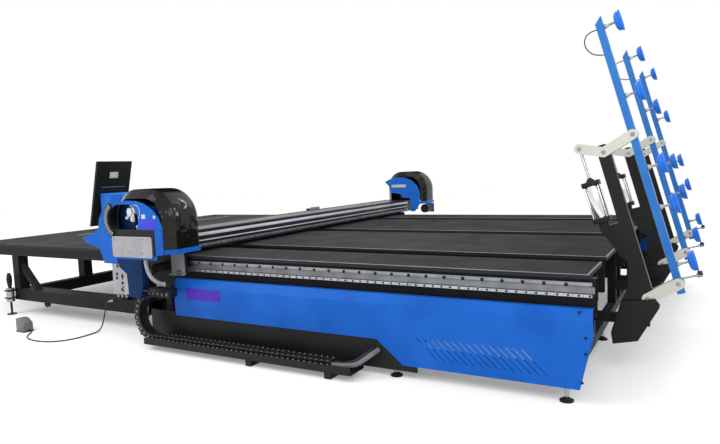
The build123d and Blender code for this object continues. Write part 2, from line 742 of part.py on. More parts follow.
def chain_run(x0, x1, z0, z1):
    count = max(1, round((x1 - x0) / CHAIN_PITCH))
    pitch = (x1 - x0) / count
    lower = [(x0, z0)]
    upper = [(x0, z1)]
    for number in range(1, count):
        x = x0 + number * pitch
        for run, level, depth in ((lower, z0, CHAIN_NOTCH), (upper, z1, -CHAIN_NOTCH)):
            run += [(x - CHAIN_NOTCH, level), (x - CHAIN_NOTCH / 2, level + depth),
                    (x + CHAIN_NOTCH / 2, level + depth), (x + CHAIN_NOTCH, level)]
    lower.append((x1, z0))
    upper.append((x1, z1))
    return side_plate(lower + upper[::-1], CHAIN_FRONT, CHAIN_BACK)


def chain_lower():
    return chain_run(CHAIN_BEND_X, CHAIN_FIXED_X, CHAIN_FLOOR, CHAIN_FLOOR + CHAIN_HEIGHT)


def chain_upper():
    return chain_run(CHAIN_BEND_X, CHAIN_MOVING_X, CHAIN_CEILING - CHAIN_HEIGHT, CHAIN_CEILING)


def chain_bend():
    inner = CHAIN_BEND_OUTER - CHAIN_HEIGHT
    outside = []
    inside = []
    for number in range(BEND_LINKS + 1):
        angle = pi / 2 + pi * number / BEND_LINKS
        outside.append((CHAIN_BEND_X + CHAIN_BEND_OUTER * cos(angle), CHAIN_AXIS + CHAIN_BEND_OUTER * sin(angle)))
        inside.append((CHAIN_BEND_X + inner * cos(angle), CHAIN_AXIS + inner * sin(angle)))
    return side_plate(outside + inside[::-1], CHAIN_FRONT, CHAIN_BACK)


def hose(points, radii, side):
    path = FilletPolyline(*points, radius=radii)
    count = int(path.length / RIB_PITCH)
    rings = []
    for rib in range(count):
        for share, radius in zip(RIB_SHARES, (CONDUIT_ROOT, CONDUIT_RADIUS, CONDUIT_RADIUS, CONDUIT_ROOT)):
            place = (rib + share) / count
            along = path % place
            across = Vector(*side) - along * along.dot(Vector(*side))
            rings.append(Plane(origin=path @ place, x_dir=across, z_dir=along) * Circle(radius))
    start = Plane(origin=path @ 0, z_dir=path % 0)
    return loft(rings, ruled=True) - sweep(start * Circle(CONDUIT_BORE), path=path)


def floor_conduits():
    level = CHAIN_FLOOR + CHAIN_HEIGHT / 2
    shift = CONDUIT_SPACING * CONDUIT_RADIUS
    middle = (CHAIN_FRONT + CHAIN_BACK) / 2
    end = -BASE_OVERHANG - SHEET
    conduits = []
    for y, reach in ((middle + shift / 2, 0), (middle - shift / 2, shift)):
        x = CHAIN_FIXED_X + reach + CONDUIT_RUN
        points = (
            (CHAIN_FIXED_X, y, level), (x, y, level),
            (x + CONDUIT_KNEE[0], y + CONDUIT_KNEE[1], level + CONDUIT_KNEE[2]),
            (x + CONDUIT_END[0], end + CONDUIT_END[1], level + CONDUIT_END[2]),
        )
        wall = block(TRAY_LEFT, 0, end, end + CONDUIT_RUN, 0, COVER_TOP)
        conduits.append(hose(points, CONDUIT_BENDS, (0, -1, 1)) - wall)
    return conduits


# Bridge

def bridge_beam():
    return tube(BRIDGE_LEFT, BRIDGE_RIGHT, PLATE_BACK, BRIDGE_FAR_END, BRIDGE_BOTTOM, BRIDGE_TOP, "y", BRIDGE_WALL)


def bridge_cap():
    cap = block(CAP_LEFT, CAP_RIGHT, PLATE_FACE - CAP_DEPTH, PLATE_FACE, CAP_BOTTOM, CAP_TOP)
    cap = fillet(cap.edges().filter_by(Axis.Y), CAP_CORNER)
    return fillet(cap.faces().sort_by(Axis.Y)[0].edges(), CAP_DEPTH / 3)


def trim_strip(y0, right, sill):
    y1 = y0 + HOOD_LENGTH - HOOD_END_ROUND
    bend = y0 + HOOD_FRONT_DEPTH
    inner = right - 2 * SHEET
    outline = Polyline(
        (right - HOOD_FRONT_INSET, y0), (right, bend), (right, y1), (inner, y1), (inner, bend + SHEET),
        (inner - HOOD_FRONT_INSET, y0), close=True)
    return extrude(Pos(0, 0, sill - TRIM_HEIGHT) * make_face(outline), amount=TRIM_HEIGHT)


def near_end_plate():
    plate = side_plate(NEAR_PLATE_OUTLINE, PLATE_FACE, PLATE_BACK)
    plane = Plane(origin=(OPENING_CENTRE[0], PLATE_BACK + 1, OPENING_CENTRE[1]), x_dir=(1, 0, 0), z_dir=(0, -1, 0))
    slot = SlotOverall(2 * OPENING_HALF[0], 2 * OPENING_HALF[1])
    plate -= extrude(plane * slot, amount=PLATE_THICK + 2)
    return plate + trim_strip(PLATE_BACK, NEAR_HOOD[1], NEAR_SILL)


def far_end_plate():
    plate = side_plate(FAR_PLATE_OUTLINE, FAR_PLATE_FACE, FAR_PLATE_BACK)
    plate -= block(BRIDGE_LEFT, BRIDGE_RIGHT, FAR_PLATE_FACE - 1, FAR_PLATE_BACK + 1, 0, BRIDGE_TOP)
    half = MOTOR_TAB / 2
    back = FAR_PLATE_BACK + HEAD_MOTOR_LENGTH
    tab = block(HEAD_MOTOR_X - half, HEAD_MOTOR_X + half, back, back + PLATE_THICK,
                HEAD_MOTOR_LEVEL - half, FAR_SILL - TRIM_HEIGHT)
    return plate + trim_strip(FAR_PLATE_BACK, FAR_HOOD[1], FAR_SILL) + tab


def rounded_arc(centre, radius, start):
    turn = [radians(start + step) for step in (0, 45, 90)]
    return ThreePointArc(*[(centre[0] + radius * cos(t), centre[1] + radius * sin(t)) for t in turn])


def hood_face(y, size, inset):
    left = size[0] + inset
    right = size[1] - inset
    top = size[2] - inset
    big = HOOD_RADIUS - inset
    small = HOOD_LEFT_RADIUS - inset
    outline = make_face([
        Line((left, BRIDGE_BOTTOM), (right, BRIDGE_BOTTOM)), Line((right, BRIDGE_BOTTOM), (right, top - big)),
        rounded_arc((right - big, top - big), big, 0), Line((right - big, top), (left + small, top)),
        rounded_arc((left + small, top - small), small, 90), Line((left, top - small), (left, BRIDGE_BOTTOM)),
    ])
    return Plane(origin=(0, y, 0), x_dir=(1, 0, 0), z_dir=(0, -1, 0)) * outline


def hood_body(y0, y1, size, inset, rounding):
    bend = y0 + HOOD_FRONT_DEPTH
    front = loft([hood_face(y0, size, inset + HOOD_FRONT_INSET), hood_face(bend, size, inset)], ruled=True)
    rear = extrude(hood_face(y1, size, inset), amount=y1 - bend)
    rear = fillet(rear.faces().sort_by(Axis.Y)[-1].edges().sort_by(Axis.Z)[1:], rounding)
    return front + rear


def hood(y0, size, sill):
    y1 = y0 + HOOD_LENGTH
    left, right, top = size
    shell = hood_body(y0, y1, size, 0, HOOD_END_ROUND)
    shell -= hood_body(y0, y1 - HOOD_WALL, size, HOOD_WALL, HOOD_END_ROUND - HOOD_WALL)
    shell -= block(left - 1, BRIDGE_RIGHT, y0 - 1, y1 + 1, 0, BRIDGE_TOP)
    shell -= block(BRIDGE_RIGHT, right + 1, y0 - 1, y1 + 1, 0, sill)
    bend = y0 + HOOD_FRONT_DEPTH
    floor = block(left, BRIDGE_LEFT + HOOD_FLOOR_LAP, bend, y1 - HOOD_END_ROUND, BRIDGE_TOP, BRIDGE_TOP + HOOD_WALL)
    return shell + floor


def carriage_face(outward):
    face = BEAM_FACE if outward < 0 else REAR_FACE
    return face + outward * CARRIAGE_GAP


def carriage_span(outward):
    face = carriage_face(outward)
    return sorted((face, face + outward * CARRIAGE_THICK))


def carriages():
    plates = []
    for outward in (-1, 1):
        span = carriage_span(outward)
        plate = block(CARRIAGE_LEFT, CARRIAGE_RIGHT, *span, CARRIAGE_BOTTOM, BRIDGE_BOTTOM)
        bore = cross_pin(PINION_X, PINION_LEVEL, span[0] - 1, span[1] + 1, 2 * MOTOR_SHAFT_RADIUS)
        plates.append(plate - bore)
    return plates


def guide_blocks():
    blocks = []
    for outward in (-1, 1):
        face = BEAM_FACE if outward < 0 else REAR_FACE
        inner = face + outward * BLOCK_BEAM_GAP
        y0, y1 = sorted((inner, carriage_face(outward)))
        c0, c1 = sorted((inner - outward, face + outward * (RAIL_DEPTH + BLOCK_GAP)))
        z0, z1 = RAIL_LEVEL - BLOCK_HEIGHT / 2, RAIL_LEVEL + BLOCK_HEIGHT / 2
        half = RAIL_HEIGHT / 2 + BLOCK_GAP
        for x0 in (CARRIAGE_LEFT + BLOCK_END_INSET, CARRIAGE_RIGHT - BLOCK_END_INSET - BLOCK_LENGTH):
            x1 = x0 + BLOCK_LENGTH
            channel = block(x0 - 1, x1 + 1, c0, c1, RAIL_LEVEL - half, RAIL_LEVEL + half)
            blocks.append(block(x0, x1, y0, y1, z0, z1) - channel)
    return blocks


def carriage_brackets():
    brackets = []
    for outward in (-1, 1):
        face = carriage_face(outward) + outward * CARRIAGE_THICK
        y0, y1 = sorted((face, face + outward * BRACKET_THICK))
        x0, x1 = BRACKET_LEFT, BRACKET_LEFT + BRACKET_WIDTH
        bracket = block(x0, x1, y0, y1, CARRIAGE_BOTTOM, BRIDGE_BOTTOM)
        lip = sorted((face, face + outward * 4 * BRACKET_THICK))
        bracket += block(x0, x1, *lip, CARRIAGE_BOTTOM, CARRIAGE_BOTTOM + BRACKET_THICK)
        for dx in (1, 2):
            for dz in (1, 2):
                x = x0 + BRACKET_WIDTH * dx / 3
                z = CARRIAGE_BOTTOM + 2 * BRACKET_THICK + BRACKET_WIDTH * dz / 6
                bracket -= cross_pin(x, z, y0 - 1, y1 + 1, BRACKET_HOLE_RADIUS)
        brackets.append(bracket)
    return brackets


def drive_motors():
    motors = [head_motor()]
    for outward in (-1, 1):
        face = carriage_face(outward) + outward * CARRIAGE_THICK
        flange = sorted((face, face + outward * MOTOR_FLANGE_THICK))
        body = sorted((face, face + outward * MOTOR_LENGTH))
        half = MOTOR_FLANGE / 2
        motor = block(PINION_X - half, PINION_X + half, *flange, PINION_LEVEL - half, PINION_LEVEL + half)
        motor += cross_pin(PINION_X, PINION_LEVEL, *body, MOTOR_RADIUS)
        motors.append(motor - cross_pin(PINION_X, PINION_LEVEL, *flange, MOTOR_SHAFT_RADIUS + PIN_CLEAR))
    return motors


def head_motor():
    start = FAR_PLATE_BACK
    return cross_pin(HEAD_MOTOR_X, HEAD_MOTOR_LEVEL, start, start + HEAD_MOTOR_LENGTH, HEAD_MOTOR_RADIUS)


def chain_hanger():
    back = PLATE_FACE + HANGER_DEPTH
    shell = side_plate(HANGER_OUTLINE, PLATE_FACE, back)
    left, right = HANGER_OUTLINE[0][0], HANGER_OUTLINE[-1][0]
    waist, left_toe, right_toe, hip = HANGER_OUTLINE[2:6]
    floor = left_toe[1] + ARM_THICK
    hollow = [
        (left + 3 * ARM_THICK, PLATE_UNDERSIDE), (waist[0] + ARM_THICK, waist[1]), (left_toe[0] + ARM_THICK, floor),
        (right_toe[0] - ARM_THICK, floor), (right - ARM_THICK, hip[1]), (right - ARM_THICK, PLATE_UNDERSIDE),
    ]
    shell -= side_plate(hollow, PLATE_FACE + ARM_THICK, back + 1)
    shell += block(left, right, PLATE_BACK, back, PLATE_UNDERSIDE, BRIDGE_BOTTOM)
    top = CHAIN_CEILING + ARM_THICK
    arm = block(right_toe[0], CHAIN_MOVING_X, PLATE_FACE, CHAIN_BACK, CHAIN_CEILING, top)
    x0, y = HOSE_POINTS[-1][:2]
    half = FITTING_WIDTH / 2
    fitting = block(x0, x0 + FITTING_LENGTH, y - half, y + half, top, top + FITTING_HEIGHT)
    return shell + arm + fitting


def valve_manifold():
    outline = [
        (MANIFOLD_LEFT, MANIFOLD_FOOT), (MANIFOLD_RIGHT, MANIFOLD_FOOT), (MANIFOLD_RIGHT, MANIFOLD_TOP),
        HANGER_OUTLINE[1], HANGER_OUTLINE[0], (MANIFOLD_LEFT, PLATE_UNDERSIDE),
    ]
    body = side_plate(outline, PLATE_BACK, PLATE_BACK + MANIFOLD_THICK)
    x = (MANIFOLD_LEFT + 2 * MANIFOLD_RIGHT) / 3
    for number in range(MANIFOLD_PORTS):
        z = MANIFOLD_FOOT + (number + MANIFOLD_FIRST_PORT) * (MANIFOLD_TOP - MANIFOLD_FOOT) / MANIFOLD_PORTS
        body -= cross_pin(x, z, PLATE_BACK - 1, PLATE_BACK + MANIFOLD_THICK / 2, MANIFOLD_HOLE_RADIUS)
    return body


def bridge_hose():
    return hose(HOSE_POINTS, HOSE_BENDS, (1, -1, 0))


# Cutting head

def head_rails():
    x0, x1 = BRIDGE_LEFT - HEAD_RAIL, BRIDGE_LEFT
    half = HEAD_RAIL / 2
    return [block(x0, x1, HEAD_RAIL_NEAR, HEAD_RAIL_FAR, z - half, z + half) for z in HEAD_RAIL_LEVELS]


def head_plate_right():
    return BRIDGE_LEFT - HEAD_RAIL - HEAD_PLATE_GAP


def head_carriage():
    right = head_plate_right()
    left = right - HEAD_PLATE_THICK
    y0, y1 = HEAD_Y - HEAD_HALF, HEAD_Y + HEAD_HALF
    carriage = block(left, right, y0, y1, HEAD_BOTTOM, HEAD_TOP)
    for z in HEAD_RAIL_LEVELS:
        shoe = block(right, BRIDGE_LEFT - HEAD_RAIL / 3, y0, y1, z - HEAD_RAIL, z + HEAD_RAIL)
        half = HEAD_RAIL / 2 + BLOCK_GAP
        channel = block(BRIDGE_LEFT - HEAD_RAIL - BLOCK_GAP, BRIDGE_LEFT, y0 - 1, y1 + 1, z - half, z + half)
        carriage += shoe - channel
    guide = LIFT_GUIDE_WIDTH / 2
    return carriage + block(left - LIFT_GUIDE_DEPTH, left, HEAD_Y - guide, HEAD_Y + guide, HEAD_BOTTOM, HEAD_TOP)


def lift_right():
    return head_plate_right() - HEAD_PLATE_THICK - LIFT_GUIDE_DEPTH / 3


def cutter_axis():
    return lift_right() - LIFT_GUIDE_DEPTH - LIFT_BODY_DEPTH / 2


def cutter_lift():
    half = LIFT_BODY_WIDTH / 2
    guide = LIFT_GUIDE_WIDTH / 2 + LIFT_CLEAR
    right = lift_right()
    left = cutter_axis() - LIFT_BODY_DEPTH / 2
    body = block(left, right, HEAD_Y - half, HEAD_Y + half, LIFT_BODY_BOTTOM, LIFT_BODY_TOP)
    face = head_plate_right() - HEAD_PLATE_THICK - LIFT_GUIDE_DEPTH - LIFT_CLEAR
    body -= block(face, right + 1, HEAD_Y - guide, HEAD_Y + guide, LIFT_BODY_BOTTOM - 1, LIFT_BODY_TOP + 1)
    bore = SWIVEL_RADIUS + SWIVEL_CLEAR
    top = LIFT_BODY_BOTTOM + (LIFT_BODY_TOP - LIFT_BODY_BOTTOM) / 2
    return body - rod((cutter_axis(), HEAD_Y, LIFT_BODY_BOTTOM - 1), (cutter_axis(), HEAD_Y, top), bore)


def cutter_holder():
    x = cutter_axis()
    top = LIFT_BODY_BOTTOM + (LIFT_BODY_TOP - LIFT_BODY_BOTTOM) / 2 - 1
    holder = rod((x, HEAD_Y, SWIVEL_BOTTOM), (x, HEAD_Y, top), SWIVEL_RADIUS)
    slot = WHEEL_THICK / 2 + LIFT_CLEAR
    level = TABLE_TOP + WHEEL_GAP + WHEEL_RADIUS
    nose = block(x - WHEEL_RADIUS, x + WHEEL_RADIUS, HEAD_Y - SWIVEL_RADIUS / 2, HEAD_Y + SWIVEL_RADIUS / 2,
                 level - WHEEL_RADIUS / 3, SWIVEL_BOTTOM)
    nose -= block(x - SWIVEL_RADIUS, x + SWIVEL_RADIUS, HEAD_Y - slot, HEAD_Y + slot, 0, level + WHEEL_SLOT_SHARE * WHEEL_RADIUS)
    wheel = cross_pin(x, level, HEAD_Y - WHEEL_THICK / 2, HEAD_Y + WHEEL_THICK / 2, WHEEL_RADIUS)
    axle = cross_pin(x, level, HEAD_Y - SWIVEL_RADIUS / 2, HEAD_Y + SWIVEL_RADIUS / 2, WHEEL_RADIUS / 4)
    return holder + nose + axle + wheel


# Loader. Points lie in the X-Z plane of an arm; DOWN runs along the lean and OUT away from the table.

DOWN = (sin(radians(ARM_LEAN)), -cos(radians(ARM_LEAN)))
OUT = (cos(radians(ARM_LEAN)), sin(radians(ARM_LEAN)))


def shifted(point, down=0, out=0):
    return (point[0] + down * DOWN[0] + out * OUT[0], point[1] + down * DOWN[1] + out * OUT[1])


COLUMN_FOOT_PIVOT = shifted(COLUMN_TOP_PIVOT, PIVOT_SPACING)
ARM_TOP_PIN = (COLUMN_TOP_PIVOT[0] + ROCKER_REACH[0], COLUMN_TOP_PIVOT[1] + ROCKER_REACH[1])
ARM_FOOT_PIN = shifted(ARM_TOP_PIN, PIVOT_SPACING)
ROD_PIN = (COLUMN_TOP_PIVOT[0] + ROCKER_TAIL[0], COLUMN_TOP_PIVOT[1] + ROCKER_TAIL[1])
CYLINDER_SPAN = hypot(ROD_PIN[0] - CYLINDER_FOOT[0], ROD_PIN[1] - CYLINDER_FOOT[1])
CYLINDER_TURN = degrees(atan2(ROD_PIN[0] - CYLINDER_FOOT[0], ROD_PIN[1] - CYLINDER_FOOT[1]))


def arm_place(y):
    return Location((ARM_TOP_PIN[0], y, ARM_TOP_PIN[1]), (0, -ARM_LEAN, 0))


def cylinder_place(y):
    return Location((CYLINDER_FOOT[0], y, CYLINDER_FOOT[1]), (0, CYLINDER_TURN, 0))


def swing_column(y):
    top = COLUMN_TOP_PIVOT
    outline = [shifted(top, *place) for place in COLUMN_CROWN]
    outline.append(shifted(COLUMN_FOOT_PIVOT, COLUMN_TOE, COLUMN_HALF))
    outline += [(SWING_AXIS[0] + x, SWING_AXIS[1] + z) for x, z in COLUMN_GUSSET]
    outline += [(CYLINDER_FOOT[0] + x, CYLINDER_FOOT[1] + z) for x, z in COLUMN_LUG]
    outline.append(shifted(top, -COLUMN_SHOULDER, -COLUMN_HALF))
    column = side_plate(outline, y - LOADER_HALF, y + LOADER_HALF)
    plane = Plane(origin=(0, y + LOADER_HALF + 1, 0), x_dir=(1, 0, 0), z_dir=(0, -1, 0))
    pocket = offset(make_face(Polyline(*outline, close=True)), amount=-COLUMN_RIM, kind=Kind.INTERSECTION)
    hollow = extrude(plane * pocket, amount=2 * LOADER_HALF + 1 - COLUMN_RIM)
    for pivot, radius in ((top, PIN_BOSS), (COLUMN_FOOT_PIVOT, PIN_BOSS), (CYLINDER_FOOT, PIN_BOSS),
                          (SWING_AXIS, SHAFT_BOSS)):
        hollow -= cross_pin(*pivot, y - LOADER_HALF, y + LOADER_HALF + 1, radius)
    column -= hollow
    ends = (y - LOADER_HALF - 1, y + LOADER_HALF + 1)
    for pivot in (top, COLUMN_FOOT_PIVOT, CYLINDER_FOOT):
        column -= cross_pin(*pivot, *ends, PIN_RADIUS + PIN_CLEAR)
    start = max(y - 2 * LOADER_HALF, SHAFT_START)
    return column + boot_plate(y) - cross_pin(*SWING_AXIS, start, ends[1], SHAFT_RADIUS)


def boot_plate(y):
    outline = [(SWING_AXIS[0] + x, SWING_AXIS[1] + z) for x, z in BOOT_TOP + COLUMN_GUSSET[1:5]]
    back = y - LOADER_HALF - 2 * LINK_GAP - LINK_THICK
    plate = side_plate(outline, back - BOOT_THICK, back)
    return plate + cross_pin(*SWING_AXIS, back, y - LOADER_HALF, SHAFT_BOSS)


def link_plate(pins, radius, y0, y1):
    plate = None
    for first, second in zip(pins, pins[1:]):
        across = Vector(second[1] - first[1], first[0] - second[0]).normalized() * radius
        bar = side_plate([
            (first[0] + across.X, first[1] + across.Y), (second[0] + across.X, second[1] + across.Y),
            (second[0] - across.X, second[1] - across.Y), (first[0] - across.X, first[1] - across.Y),
        ], y0, y1)
        plate = bar if plate is None else plate + bar
    for pin in pins:
        plate += cross_pin(*pin, y0, y1, radius)
    return plate


def link_pair(pins, radius, pinned, y):
    inner = LOADER_HALF + LINK_GAP
    outer = inner + LINK_THICK
    link = link_plate(pins, radius, y - outer, y - inner) + link_plate(pins, radius, y + inner, y + outer)
    for pin in pinned:
        link += cross_pin(*pin, y - outer, y + outer, PIN_RADIUS)
    return link


def rocker(y):
    return link_pair((ROD_PIN, COLUMN_TOP_PIVOT, ARM_TOP_PIN), LINK_EYE_RADIUS, (COLUMN_TOP_PIVOT, ARM_TOP_PIN), y)


def lower_link(y):
    pins = (COLUMN_FOOT_PIVOT, ARM_FOOT_PIN)
    return link_pair(pins, LOWER_LINK_EYE, pins, y)


def suction_arm(y):
    foot = -PIVOT_SPACING - ARM_BELOW_PIN
    arm = tube(-ARM_HALF, ARM_HALF, -LOADER_HALF, LOADER_HALF, foot, ARM_ABOVE_PIN, "z", ARM_WALL)
    side = ARM_HALF + 1
    arm -= side_plate([
        (-side, ARM_ABOVE_PIN - ARM_TOP_CUT), (side, ARM_ABOVE_PIN), (side, ARM_ABOVE_PIN + 1), (-side, ARM_ABOVE_PIN + 1),
    ], -LOADER_HALF - 1, LOADER_HALF + 1)
    for z in (0, -PIVOT_SPACING):
        arm -= cross_pin(0, z, -LOADER_HALF - 1, LOADER_HALF + 1, PIN_RADIUS + PIN_CLEAR)
    return arm_place(y) * arm


def suction_cups(y):
    base = CUP_FACE - CUP_DEPTH
    cups = []
    for z in CUP_PLACES:
        plane = Plane(origin=(base, 0, z), z_dir=(1, 0, 0))
        cups.append(arm_place(y) * Solid.make_cone(CUP_NECK_RADIUS, CUP_RADIUS, CUP_DEPTH, plane))
    return cups


def cup_stems(y):
    return [arm_place(y) * rod((ARM_HALF, 0, z), (CUP_FACE - CUP_DEPTH, 0, z), STEM_RADIUS) for z in CUP_PLACES]


def rest_roller(y):
    stalk = rod((ARM_HALF, 0, REST_PLACE), (REST_REACH - REST_HEAD_LENGTH, 0, REST_PLACE), REST_RADIUS)
    head = rod((REST_REACH - REST_HEAD_LENGTH, 0, REST_PLACE), (REST_REACH, 0, REST_PLACE), REST_HEAD_RADIUS)
    return arm_place(y) * (stalk + head)


def cylinder_barrel(y):
    inner = LOADER_HALF + LINK_GAP
    outer = inner + LINK_THICK
    half = BARREL_HEAD_SIDE / 2
    start = BARREL_START
    end = start + BARREL_LENGTH
    barrel = rod((0, 0, start), (0, 0, end), BARREL_RADIUS)
    barrel += block(-half, half, -half, half, start, start + BARREL_HEAD)
    barrel += block(-half, half, -half, half, end, end + BARREL_HEAD)
    for side in (-1, 1):
        y0, y1 = sorted((side * inner, side * outer))
        barrel += block(-2 * PIN_RADIUS, 2 * PIN_RADIUS, y0, y1, 0, start)
        barrel += cross_pin(0, 0, y0, y1, 2 * PIN_RADIUS)
    barrel += cross_pin(0, 0, -outer, outer, PIN_RADIUS)
    barrel -= rod((0, 0, start + BARREL_HEAD), (0, 0, end + BARREL_HEAD + 1), BARREL_BORE)
    return cylinder_place(y) * barrel


def piston_rod(y):
    inside = BARREL_START + BARREL_LENGTH / 2
    stem = rod((0, 0, inside), (0, 0, CYLINDER_SPAN), ROD_RADIUS)
    eye = cross_pin(0, CYLINDER_SPAN, -ROD_EYE_HALF, ROD_EYE_HALF, ROD_EYE_RADIUS)
    return cylinder_place(y) * (stem + eye)


def outrigger_centres():
    reach = ARM_SLOT / 2 + JOIST_INSET + JOIST_WIDTH / 2
    # the boot of the first column stands free on its outer side
    return [centre + side * reach for centre in SLOT_CENTRES for side in (-1, 1)][1:]


def loader_outriggers():
    x0 = FRAME_PLACES[0] + BASE_BEAM / 2
    x1 = SWING_AXIS[0] - BEARING_SIDE / 2
    z0, z1 = SWING_AXIS[1] - OUTRIGGER_HEIGHT / 2, SWING_AXIS[1] + OUTRIGGER_HEIGHT / 2
    half = OUTRIGGER_HALF
    return [tube(x0, x1, y - half, y + half, z0, z1, "x") for y in outrigger_centres()]


def shaft_bearings():
    half = BEARING_SIDE / 2
    x, z = SWING_AXIS
    bearings = []
    for y in outrigger_centres():
        ends = (y - OUTRIGGER_HALF, y + OUTRIGGER_HALF)
        housing = block(x - half, x + half, *ends, z - half, z + half)
        bearings.append(housing - cross_pin(x, z, ends[0] - 1, ends[1] + 1, SHAFT_RADIUS + PIN_CLEAR))
    return bearings


def gearbox_start():
    return outrigger_centres()[-1] + OUTRIGGER_HALF


def swing_shaft():
    return cross_pin(*SWING_AXIS, SHAFT_START, gearbox_start() + GEARBOX_LENGTH, SHAFT_RADIUS)


def swing_gearmotor():
    x, z = SWING_AXIS
    half = GEARBOX_SIDE / 2
    y0 = gearbox_start()
    y1 = y0 + GEARBOX_LENGTH
    box = block(x - half, x + half, y0, y1, z - half, z + half)
    box -= cross_pin(x, z, y0 - 1, y1 + 1, SHAFT_RADIUS + PIN_CLEAR)
    y = (y0 + y1) / 2
    return box + rod((x - half, y, z), (x - half - GEARMOTOR_LENGTH, y, z), GEARMOTOR_RADIUS)


# Breaking table

BREAK_BEAM_BOTTOM = BOARD_BOTTOM - BREAK_BEAM_HEIGHT
BREAK_LEG_PLACES = (BREAK_LEG_LEFT, BREAK_LEG_RIGHT)
BREAK_LEG_ROWS = (
    BREAK_FRONT, BREAK_FRONT + BREAK_LEG_STEP, BREAK_BACK - BREAK_LEG_STEP - BREAK_LEG, BREAK_BACK - BREAK_LEG,
)


def breaking_frame():
    top = (BREAK_BEAM_BOTTOM, BOARD_BOTTOM)
    low = (BREAK_RAIL_BOTTOM, BREAK_RAIL_TOP)
    inner = (BREAK_FRONT + BREAK_BEAM, BREAK_BACK - BREAK_BEAM)
    low_inner = (BREAK_FRONT + BREAK_RAIL_DEPTH, BREAK_BACK - BREAK_RAIL_DEPTH)
    frame = []
    for y in (BREAK_FRONT, inner[1]):
        frame.append(tube(BREAK_LEFT, BREAK_RIGHT, y, y + BREAK_BEAM, *top, "x"))
    for x in (BREAK_LEFT, BREAK_RIGHT - BREAK_BEAM):
        frame.append(tube(x, x + BREAK_BEAM, *inner, *top, "y"))
    for x in BREAK_JOISTS:
        frame.append(tube(x, x + BREAK_JOIST, *inner, *top, "y"))
    for y in (BREAK_FRONT, low_inner[1]):
        frame.append(tube(BREAK_LEG_LEFT, BREAK_LEG_RIGHT + BREAK_LEG, y, y + BREAK_RAIL_DEPTH, *low, "x"))
    for x in BREAK_LEG_PLACES:
        frame.append(tube(x, x + BREAK_LEG, *inner, *top, "y"))
        frame.append(tube(x, x + BREAK_LEG, *low_inner, *low, "y"))
        for y in BREAK_LEG_ROWS:
            frame.append(tube(x, x + BREAK_LEG, y, y + BREAK_LEG, low[1], top[0], "z"))
    return frame + leg_gussets() + bar_supports() + table_ties()


def table_ties():
    half = JOIST_WIDTH / 2
    ends = (BREAK_RIGHT, -TABLE_LENGTH + BEAM_INSET)
    level = (BREAK_BEAM_BOTTOM, BREAK_BEAM_BOTTOM + JOIST_WIDTH)
    return [tube(*ends, y - half, y + half, *level, "x") for y in (joist_centres()[0], joist_centres()[-1])]


def leg_gussets():
    low = BREAK_RAIL_TOP
    gussets = []
    for x, side in ((BREAK_LEG_LEFT + BREAK_LEG, 1), (BREAK_LEG_RIGHT, -1)):
        outline = [
            (x, low + GUSSET_REACH), (x, low + GUSSET_REACH + GUSSET_WIDTH),
            (x + side * (GUSSET_REACH + GUSSET_WIDTH), low), (x + side * GUSSET_REACH, low),
        ]
        for y in (BREAK_LEG_ROWS[0], BREAK_LEG_ROWS[-1]):
            gussets.append(side_plate(outline, y + GUSSET_INSET, y + BREAK_LEG - GUSSET_INSET))
    return gussets


def bar_supports():
    x0, x1 = BREAK_JOISTS[0] + BREAK_JOIST, BREAK_JOISTS[1]
    half = BAR_SUPPORT_WIDTH / 2
    return [block(x0, x1, y - half, y + half, BREAK_BEAM_BOTTOM, TABLE_TOP - BAR_DEPTH) for y in BAR_SUPPORTS]


def bar_window(z0, z1):
    half = BAR_WIDTH / 2 + BAR_CLEAR
    return block(BAR_X - half, BAR_X + half, BAR_START - BAR_CLEAR, BAR_START + BAR_LENGTH + BAR_CLEAR, z0, z1)


def breaking_board():
    board = block(BREAK_LEFT, BREAK_RIGHT, BREAK_FRONT, BREAK_BACK, BOARD_BOTTOM, BOARD_TOP)
    return board - bar_window(BOARD_BOTTOM - 1, BOARD_TOP + 1)


def breaking_felt():
    edge = BREAK_FELT_INSET
    felt = block(BREAK_LEFT + edge, BREAK_RIGHT - edge, BREAK_FRONT + edge, BREAK_BACK - edge, BOARD_TOP, TABLE_TOP)
    return felt - bar_window(BOARD_TOP - 1, TABLE_TOP + 1)


def breaker_bar():
    half = BAR_WIDTH / 2
    return block(BAR_X - half, BAR_X + half, BAR_START, BAR_START + BAR_LENGTH, TABLE_TOP - BAR_DEPTH, TABLE_TOP)


def jack_feet():
    jacks = []
    for x in (BREAK_LEG_LEFT, BREAK_LEG_RIGHT + BREAK_LEG):
        for side, face in ((-1, BREAK_FRONT), (1, BREAK_BACK)):
            place = (x, face + side * JACK_STAND_OFF)
            jack = rod((*place, JACK_BOTTOM), (*place, JACK_SLEEVE_TOP), JACK_RADIUS)
            jack += rod((*place, JACK_SLEEVE_TOP), (*place, JACK_TOP), JACK_HANDLE_RADIUS)
            jack += rod((*place, FOOT_PAD_HEIGHT), (*place, JACK_BOTTOM), JACK_SCREW_RADIUS)
            jack += rod((*place, 0), (*place, FOOT_PAD_HEIGHT), JACK_PAD_RADIUS)
            for z in JACK_BRACKETS:
                ends = sorted((face, place[1]))
                jack += block(x - JACK_BRACKET_HALF, x + JACK_BRACKET_HALF, *ends, z, z + JACK_BRACKET_THICK)
            jacks.append(jack)
    return jacks


def caster_places():
    x = BREAK_LEG_LEFT + BREAK_LEG / 2
    return ((x, CASTER_Y), (x, BREAK_FRONT + BREAK_BACK - CASTER_Y))


